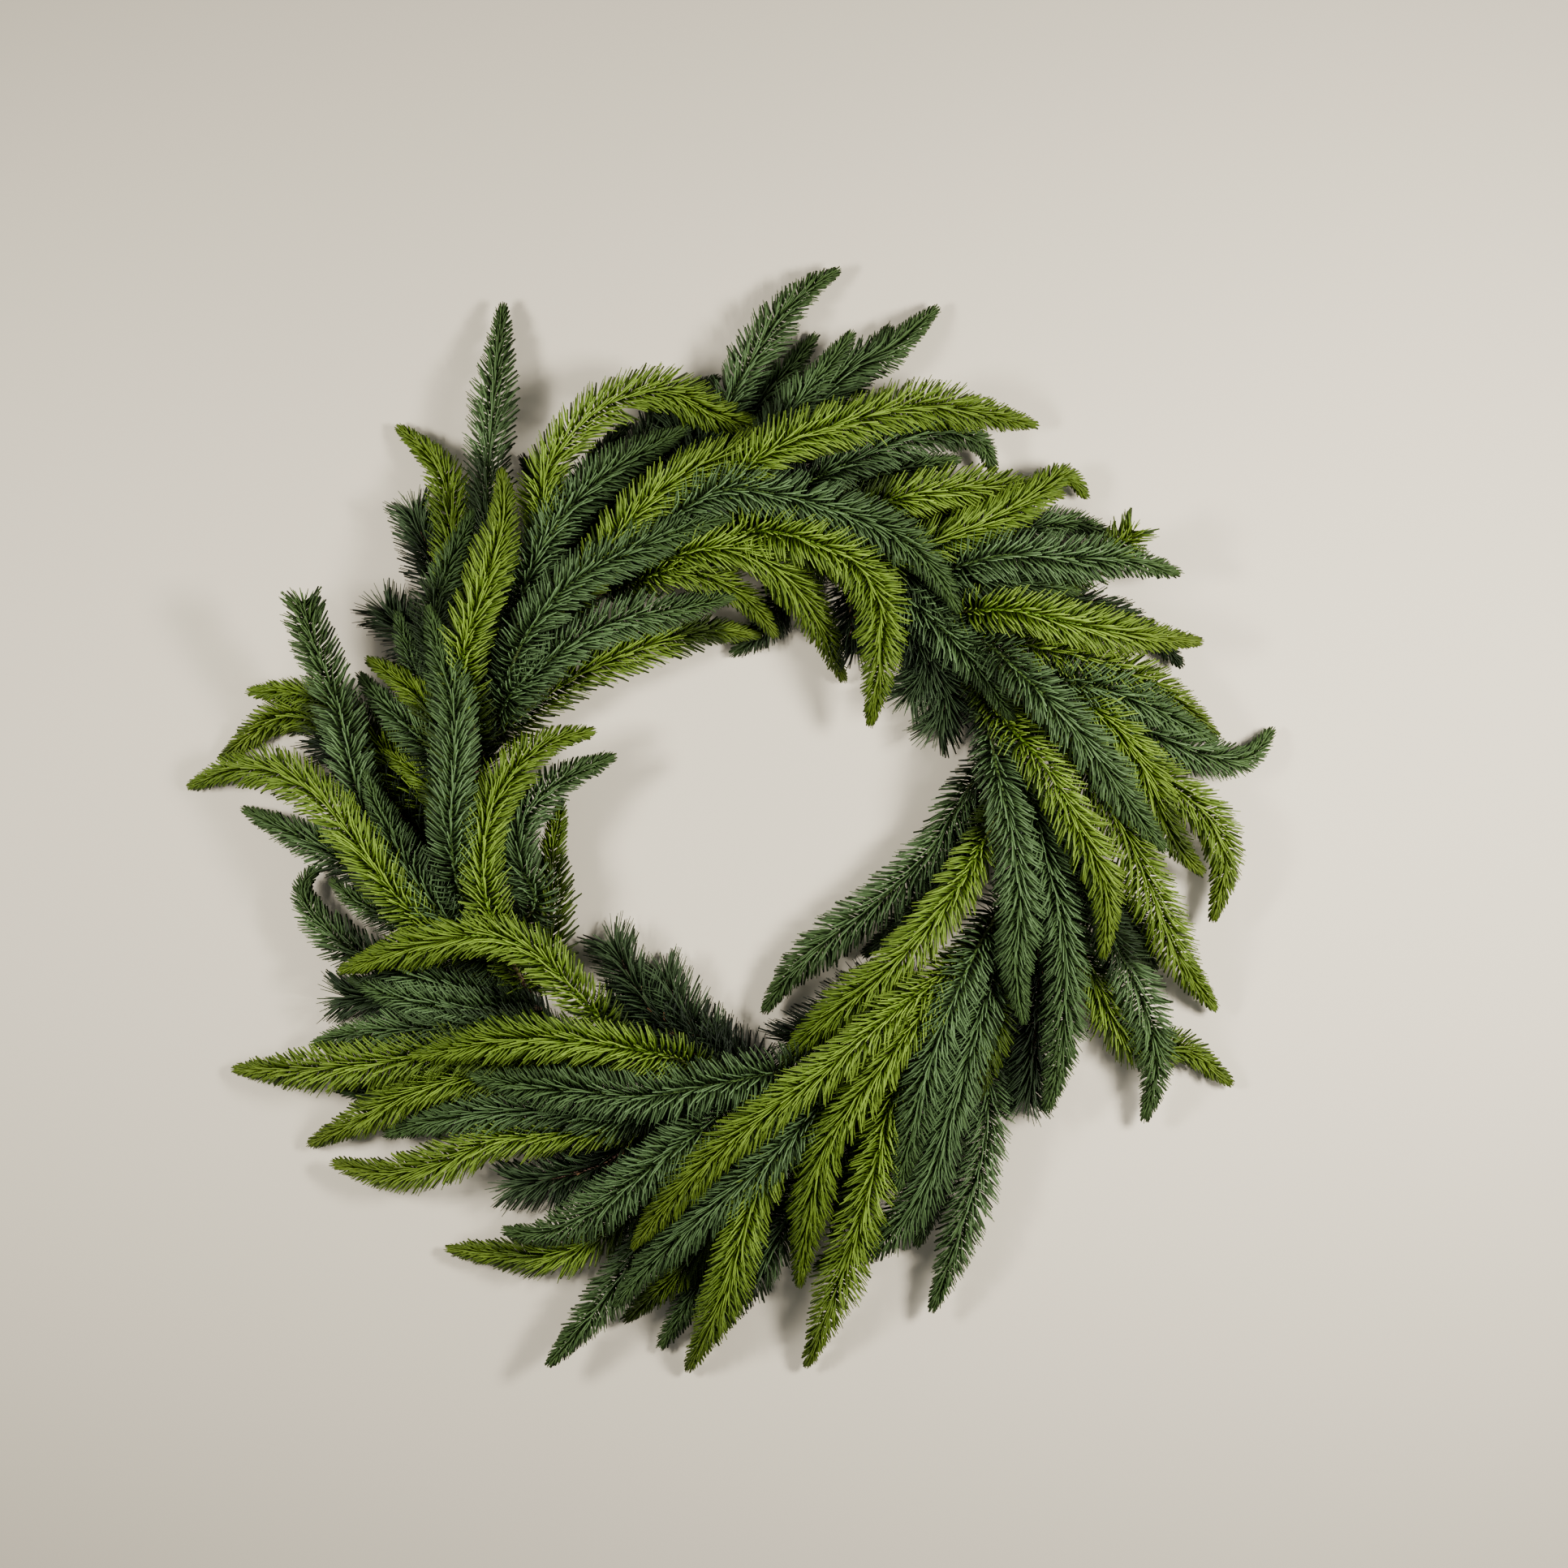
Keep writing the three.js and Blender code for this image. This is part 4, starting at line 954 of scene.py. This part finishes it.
class Shader:
    """A material with its nodes: node() adds any of them."""

    def __init__(self, name, **constants):
        self.material = bpy.data.materials.new(name)
        self.material.use_nodes = True
        self.tree = self.material.node_tree
        self.surface = self.tree.nodes["Principled BSDF"]
        for title, value in constants.items():
            self.surface.inputs[title.replace("_", " ")].default_value = value

    def node(self, kind, settings, inputs, output=0):
        made = self.tree.nodes.new(kind)
        for title, value in settings.items():
            setattr(made, title, value)
        for title, value in inputs.items():
            self.feed(made.inputs[title], value)
        return Value(self, made.outputs[output])

    def feed(self, socket, value):
        if isinstance(value, Value):
            self.tree.links.new(value.socket, socket)
        else:
            socket.default_value = value

    def attribute(self, title):
        return self.node("ShaderNodeAttribute", {"attribute_name": title}, {}, "Fac")

    def noise(self, scale, detail=2.0):
        place = self.node("ShaderNodeTexCoord", {}, {}, "Object")
        inputs = {"Vector": place, "Scale": scale, "Detail": detail}
        return self.node("ShaderNodeTexNoise", {}, inputs, "Fac")

    def mix(self, first, second, factor):
        inputs = {"Factor": factor, "A": first, "B": second}
        sockets = {"Factor": 0, "A": 6, "B": 7}
        inputs = {sockets[title]: value for title, value in inputs.items()}
        return self.node("ShaderNodeMix", {"data_type": "RGBA"}, inputs, 2)

    def bump(self, height, strength, distance):
        inputs = {"Height": height, "Strength": strength, "Distance": distance}
        return self.node("ShaderNodeBump", {}, inputs)

    def surface_takes(self, **values):
        for title, value in values.items():
            self.feed(self.surface.inputs[title.replace("_", " ")], value)
        return self.material


def scaled(colour, share):
    """A colour made lighter or darker."""
    return (*(min(1.0, part * share) for part in colour), 1.0)


def needle_material(name, colour, tip_colour, end_colour, end_from):
    """Waxy needles: painted shade at the foot and under other sprays, a painted highlight on the pale tip, no
    two quite alike.
    """
    shader = Shader(name, Specular_IOR_Level=0.18)
    along = shader.attribute("needle_along")
    tone_and_painted_shade = shader.attribute("needle_tone_and_painted_shade")
    cover = shader.attribute("needle_cover")
    tone = shader.attribute("spray_tone")
    share = shader.attribute("spray_along")
    to_body = ((along - FOOT_UNTIL) * FOOT_FADES).clamped()
    tip_highlight = (along ** TIP_POWER).clamped()
    at_end = ((share - end_from) * (1 / (1.0001 - end_from))).clamped()
    # Painted shade: each needle darker at its foot, where the needles crowd at the stem.
    base = shader.mix(scaled(colour, PAINTED_SHADE_LEVEL), (*colour, 1.0), to_body)
    # Painted highlight: each needle turns pale towards its tip.
    base = shader.mix(base, (*tip_colour, 1.0), tip_highlight * (TIP_HIGHLIGHT_SHARE - at_end * TIP_LESS_AT_END))
    base = shader.mix(base, (*end_colour, 1.0), at_end * (END_SHARE + tone * END_SHARE_BY_TONE))
    # Painted shade: needles darker by their row's painted lightness, darkest in the rows under the stem.
    base = shader.mix(base, scaled(colour, PAINTED_SHADE_LEVEL), (1 - tone_and_painted_shade) * PAINTED_ROW_SHADE_SHARE)
    base = shader.mix(base, scaled(colour, TONE_SHADE), (1 - tone) * TONE_SHARE)
    patches = shader.noise(PATCH_SCALE)
    patched = patches * tone_and_painted_shade * (PATCH_SHARE - at_end * PATCH_LESS_AT_END)
    base = shader.mix(base, scaled(tip_colour, PATCH_TINT), patched)
    # Painted shade: needles darker where other sprays lie over them.
    base = shader.mix(base, scaled(colour, PAINTED_COVER_SHADE), cover * PAINTED_COVER_SHARE)
    roughness = 0.4 + patches * 0.26
    bump = shader.bump(shader.noise(900.0), 0.25, 0.0002)
    return shader.surface_takes(Base_Color=base, Roughness=roughness, Normal=bump)


def stem_material(name, colour, bark_colour):
    """Stems: mauve-brown bark at the foot, and the needles' own green further out."""
    shader = Shader(name, Specular_IOR_Level=0.3)
    share = shader.attribute("spray_along")
    patches = shader.noise(45.0)
    to_green = (share * STEM_GREEN_COMES + (patches - 0.5) * STEM_UNEVEN - STEM_GREEN_FROM).clamped()
    base = shader.mix((*bark_colour, 1.0), scaled(colour, STEM_GREEN), to_green)
    fine = shader.noise(700.0)
    base = shader.mix(base, scaled(bark_colour, 0.5), (fine * 0.25).clamped())
    bump = shader.bump(fine, 0.5, 0.0003)
    return shader.surface_takes(Base_Color=base, Roughness=0.5 + fine * 0.3, Normal=bump)


def scale_material(name, colour):
    """Dry papery scales, paler towards their tips."""
    shader = Shader(name, Specular_IOR_Level=0.2)
    along = shader.attribute("needle_along")
    tone_and_painted_shade = shader.attribute("needle_tone_and_painted_shade")
    base = shader.mix(scaled(colour, 0.5), scaled(colour, 1.5), along.clamped())
    base = shader.mix(base, scaled(colour, 0.35), (tone_and_painted_shade * 0.6).clamped())
    fine = shader.noise(500.0)
    bump = shader.bump(fine, 0.4, 0.0003)
    return shader.surface_takes(Base_Color=base, Roughness=0.6 + fine * 0.3, Normal=bump)


def wire_material(name, colour):
    """Green enamelled wire, with the enamel worn thin in small spots."""
    shader = Shader(name, Coat_Roughness=0.2)
    wear = shader.noise(260.0)
    spots = ((wear - WORN_FROM) * WORN_SHARPNESS).clamped()
    base = shader.mix((*colour, 1.0), WORN_COLOUR, spots * 0.6)
    bump = shader.bump(shader.noise(1200.0), 0.15, 0.0001)
    shader.surface_takes(Roughness=0.34 + wear * 0.2, Metallic=spots * 0.5)
    return shader.surface_takes(Base_Color=base, Normal=bump)


def floor_material(name, colour):
    """A pale floor, barely uneven in tone, with a painted pool of light: painted darker away from the middle.
    """
    shader = Shader(name, Specular_IOR_Level=0.2)
    place = shader.node("ShaderNodeTexCoord", {}, {}, "Object")
    ends = {0: place, 1: FLOOR_PAINTED_LIGHT_CENTRE}
    away = shader.node("ShaderNodeVectorMath", {"operation": "DISTANCE"}, ends, "Value")
    painted_falloff = ((away - FLOOR_PAINTED_LIGHT_WITHIN) * (1 / FLOOR_PAINTED_FALLOFF_OVER)).clamped()
    mottle = shader.noise(6.0)
    base = shader.mix(scaled(colour, 0.985), scaled(colour, 1.015), mottle)
    # Painted light: the floor painted darker away from its brightest point, as the lights' falloff.
    base = shader.mix(base, scaled(colour, FLOOR_PAINTED_FALLOFF_LEVEL), painted_falloff)
    return shader.surface_takes(Base_Color=base, Roughness=0.75 + mottle * 0.1)


def length_property(title, description, default):
    """A length in metres, shown in the scene's unit."""
    return bpy.props.FloatProperty(
        name=title, description=description, default=default, min=0.0, precision=5,
        subtype="DISTANCE", unit="LENGTH",
    )


def colour_property(title, description, default):
    """A linear colour."""
    return bpy.props.FloatVectorProperty(
        name=title, description=description, default=default, min=0.0, max=1.0, subtype="COLOR",
    )


def power_property(title, description, default):
    """The power of a light."""
    return bpy.props.FloatProperty(
        name=title, description=description, default=default, min=0.0, subtype="POWER", unit="POWER",
    )


class WreathNeedles(bpy.types.PropertyGroup):
    """The needles' sizes."""

    light_length: length_property("Light needle length", "Length along the curve", 0.0170)
    light_radius: length_property("Light needle radius", "Half the thickness", 0.0005)
    light_spacing: length_property("Light needle spacing", "Along a row", 0.00265)
    dark_length: length_property("Dark needle length", "Length along the curve", 0.0165)
    dark_radius: length_property("Dark needle radius", "Half the thickness", 0.0005)
    dark_spacing: length_property("Dark needle spacing", "Along a row", 0.00265)
    pine_length: length_property("Filler needle length", "Length of the straight needles", 0.0230)
    pine_radius: length_property("Filler needle radius", "Half the thickness", 0.00042)
    pine_spacing: length_property("Filler needle spacing", "Along a row", 0.0024)


class WreathColours(bpy.types.PropertyGroup):
    """The colours of needles, stems and wire."""

    # The tip colours give the needles' ends a painted highlight.
    light: colour_property("Light needles", "Body of the yellow-green needles", (0.089, 0.184, 0.006))
    light_tip: colour_property("Light tips", "Pale ends of the yellow-green needles", (0.336, 0.500, 0.062))
    light_end: colour_property("Light spray ends", "Olive ends of the light sprays", (0.066, 0.090, 0.006))
    dark: colour_property("Dark needles", "Body of the blue-green needles", (0.033, 0.074, 0.009))
    dark_tip: colour_property("Dark tips", "Pale ends of the blue-green needles", (0.166, 0.280, 0.114))
    dark_end: colour_property("Dark spray ends", "Ends of the dark sprays", (0.040, 0.076, 0.012))
    pine: colour_property("Filler needles", "Very dark straight needles", (0.018, 0.040, 0.012))
    pine_tip: colour_property("Filler tips", "Ends of the dark straight needles", (0.060, 0.100, 0.040))
    bark: colour_property("Bark", "Mauve-brown foot of the stems", (0.130, 0.070, 0.050))
    scale: colour_property("Dry scales", "Brown papery scales of the filler", (0.200, 0.105, 0.050))
    wire: colour_property("Wire", "Green enamel of ring and binding wire", (0.040, 0.075, 0.035))
    floor: colour_property("Floor", "Pale surface that the wreath lies on", (0.720, 0.650, 0.506))


class WreathStudio(bpy.types.PropertyGroup):
    """The camera's place and the lights' strength."""

    camera_height: length_property("Camera height", "Above the surface", CAMERA_HEIGHT * MM)
    light_height: length_property("Light height", "Of both lights, above the surface", 0.85)
    light_aside: length_property("Light distance", "Of both lights, from the ring's middle", 0.75)
    light_size: length_property("Light size", "Side of each square light", 0.28)
    left_power: power_property("Left power", "Light on the left", 20.0)
    right_power: power_property("Right power", "Light on the right", 29.5)
    sky_strength: bpy.props.FloatProperty(
        name="Sky strength", description="Light from all round", default=0.25, min=0.0,
    )


class WREATH_OT_ring(bpy.types.Operator):
    """Make the wire ring and the binding wire that lashes the stems to it"""

    bl_idname = "wreath.ring"
    bl_label = "Ring and Binding Wire"

    def execute(self, context):
        material = wire_material("green_enamelled_wire", context.scene.wreath_colours.wire)
        shape = bmesh.new()
        angle = np.arange(RING_STEPS) * 2 * np.pi / RING_STEPS
        flat = np.stack((np.cos(angle), np.sin(angle)), axis=1) * RING_RADIUS + RING_CENTRE[:2]
        middle = np.column_stack((flat, np.full(RING_STEPS, RING_MIDDLE_Z)))
        add_tube(shape, middle, np.full(RING_STEPS, RING_WIRE_SEEN), RING_SIDES, closed=True)
        path = binding_path()
        add_tube(shape, path, np.full(len(path), BINDING_RADIUS), BINDING_SIDES, closed=True)
        mesh = bpy.data.meshes.new("ring_and_binding_wire")
        shape.to_mesh(mesh)
        shape.free()
        finish_piece("ring_and_binding_wire", mesh, (material,), "wire_ring")
        return {"FINISHED"}


def dress_kind(context, kind, materials):
    """Dresses all the branches of one kind of foliage."""
    for node, stems in settled_stems().items():
        if stems[0].kind == kind:
            dress_branch(node, stems, context.scene.wreath_needles, materials)


class WREATH_OT_light_sprays(bpy.types.Operator):
    """Make the light yellow-green sprays"""

    bl_idname = "wreath.light_sprays"
    bl_label = "Light Sprays"

    def execute(self, context):
        colours = context.scene.wreath_colours
        tints = (colours.light, colours.light_tip, colours.light_end)
        needles = needle_material("light_needles_waxy", *tints, HABITS["light"]["coloured_end"])
        stems = stem_material("light_stems", colours.light, colours.bark)
        dress_kind(context, "light", (needles, stems))
        return {"FINISHED"}


class WREATH_OT_dark_sprays(bpy.types.Operator):
    """Make the dark blue-green sprays"""

    bl_idname = "wreath.dark_sprays"
    bl_label = "Dark Sprays"

    def execute(self, context):
        colours = context.scene.wreath_colours
        tints = (colours.dark, colours.dark_tip, colours.dark_end)
        needles = needle_material("dark_needles_waxy", *tints, HABITS["dark"]["coloured_end"])
        stems = stem_material("dark_stems", colours.dark, colours.bark)
        dress_kind(context, "dark", (needles, stems))
        return {"FINISHED"}


class WREATH_OT_filler_tufts(bpy.types.Operator):
    """Make the very dark filler tufts with their dry scales"""

    bl_idname = "wreath.filler_tufts"
    bl_label = "Filler Tufts"

    def execute(self, context):
        colours = context.scene.wreath_colours
        tints = (colours.pine, colours.pine_tip, colours.pine_tip)
        needles = needle_material("filler_needles_dark", *tints, HABITS["pine"]["coloured_end"])
        stems = stem_material("filler_stems", colours.bark, colours.bark)
        scales = scale_material("dry_scales", colours.scale)
        dress_kind(context, "pine", (needles, stems, scales))
        return {"FINISHED"}


class WREATH_OT_studio(bpy.types.Operator):
    """Make the pale floor, the soft lights and the camera straight above"""

    bl_idname = "wreath.studio"
    bl_label = "Studio"

    def execute(self, context):
        studio = context.scene.wreath_studio
        scene = context.scene
        shape = bmesh.new()
        bmesh.ops.create_grid(shape, x_segments=1, y_segments=1, size=FLOOR_REACH)
        mesh = bpy.data.meshes.new("floor")
        shape.to_mesh(mesh)
        shape.free()
        mesh.materials.append(floor_material("pale_floor", scene.wreath_colours.floor))
        floor = bpy.data.objects.new("floor", mesh)
        scene.collection.objects.link(floor)

        middle = RING_CENTRE[:2] * MM
        sides = (("left_light", -1, studio.left_power), ("right_light", 1, studio.right_power))
        for name, side, power in sides:
            aside = middle[0] + side * studio.light_aside
            panel = bpy.data.lights.new(name, "AREA")
            panel.energy = power
            panel.size = studio.light_size
            panel.color = LIGHT_COLOUR
            light = bpy.data.objects.new(name, panel)
            light.location = (aside, middle[1] + LIGHT_FORWARD, studio.light_height)
            scene.collection.objects.link(light)

        world = bpy.data.worlds.new("studio_sky")
        world.use_nodes = True
        sky = world.node_tree.nodes["Background"].inputs
        sky["Color"].default_value = SKY_COLOUR
        sky["Strength"].default_value = studio.sky_strength
        scene.world = world

        lens = bpy.data.cameras.new("camera")
        height = studio.camera_height / MM
        lens.sensor_width = SENSOR_MM
        lens.lens = SENSOR_MM * height / (PHOTO_PIXELS * MM_PER_PIXEL)
        camera = bpy.data.objects.new("camera", lens)
        offset = (PHOTO_CENTRE_PIXEL - RING_CENTRE_PIXEL) * MM_PER_PIXEL * (1, -1)
        camera.location = (*((RING_CENTRE[:2] + offset) * MM), studio.camera_height)
        scene.collection.objects.link(camera)
        scene.camera = camera
        return {"FINISHED"}


class WREATH_PT_panel(bpy.types.Panel):
    """Lists the pieces of the wreath and their settings"""

    bl_idname = "WREATH_PT_panel"
    bl_label = "Evergreen Wreath"
    bl_space_type = "VIEW_3D"
    bl_region_type = "UI"
    bl_category = "Wreath"

    def draw(self, context):
        scene = context.scene
        for group in (scene.wreath_needles, scene.wreath_colours, scene.wreath_studio):
            box = self.layout.box()
            for title in group.__annotations__:
                box.prop(group, title)
        for operator in OPERATORS:
            self.layout.operator(operator.bl_idname)


OPERATORS = (
    WREATH_OT_ring,
    WREATH_OT_light_sprays,
    WREATH_OT_dark_sprays,
    WREATH_OT_filler_tufts,
    WREATH_OT_studio,
)
CLASSES = (WreathNeedles, WreathColours, WreathStudio, *OPERATORS, WREATH_PT_panel)


def register():
    for kind in CLASSES:
        bpy.utils.register_class(kind)
    bpy.types.Scene.wreath_needles = bpy.props.PointerProperty(type=WreathNeedles)
    bpy.types.Scene.wreath_colours = bpy.props.PointerProperty(type=WreathColours)
    bpy.types.Scene.wreath_studio = bpy.props.PointerProperty(type=WreathStudio)


def unregister():
    del bpy.types.Scene.wreath_studio
    del bpy.types.Scene.wreath_colours
    del bpy.types.Scene.wreath_needles
    for kind in reversed(CLASSES):
        bpy.utils.unregister_class(kind)


def main():
    """Builds the whole scene."""
    register()
    bpy.ops.wreath.ring()
    bpy.ops.wreath.light_sprays()
    bpy.ops.wreath.dark_sprays()
    bpy.ops.wreath.filler_tufts()
    bpy.ops.wreath.studio()


if __name__ == "__main__":
    main()
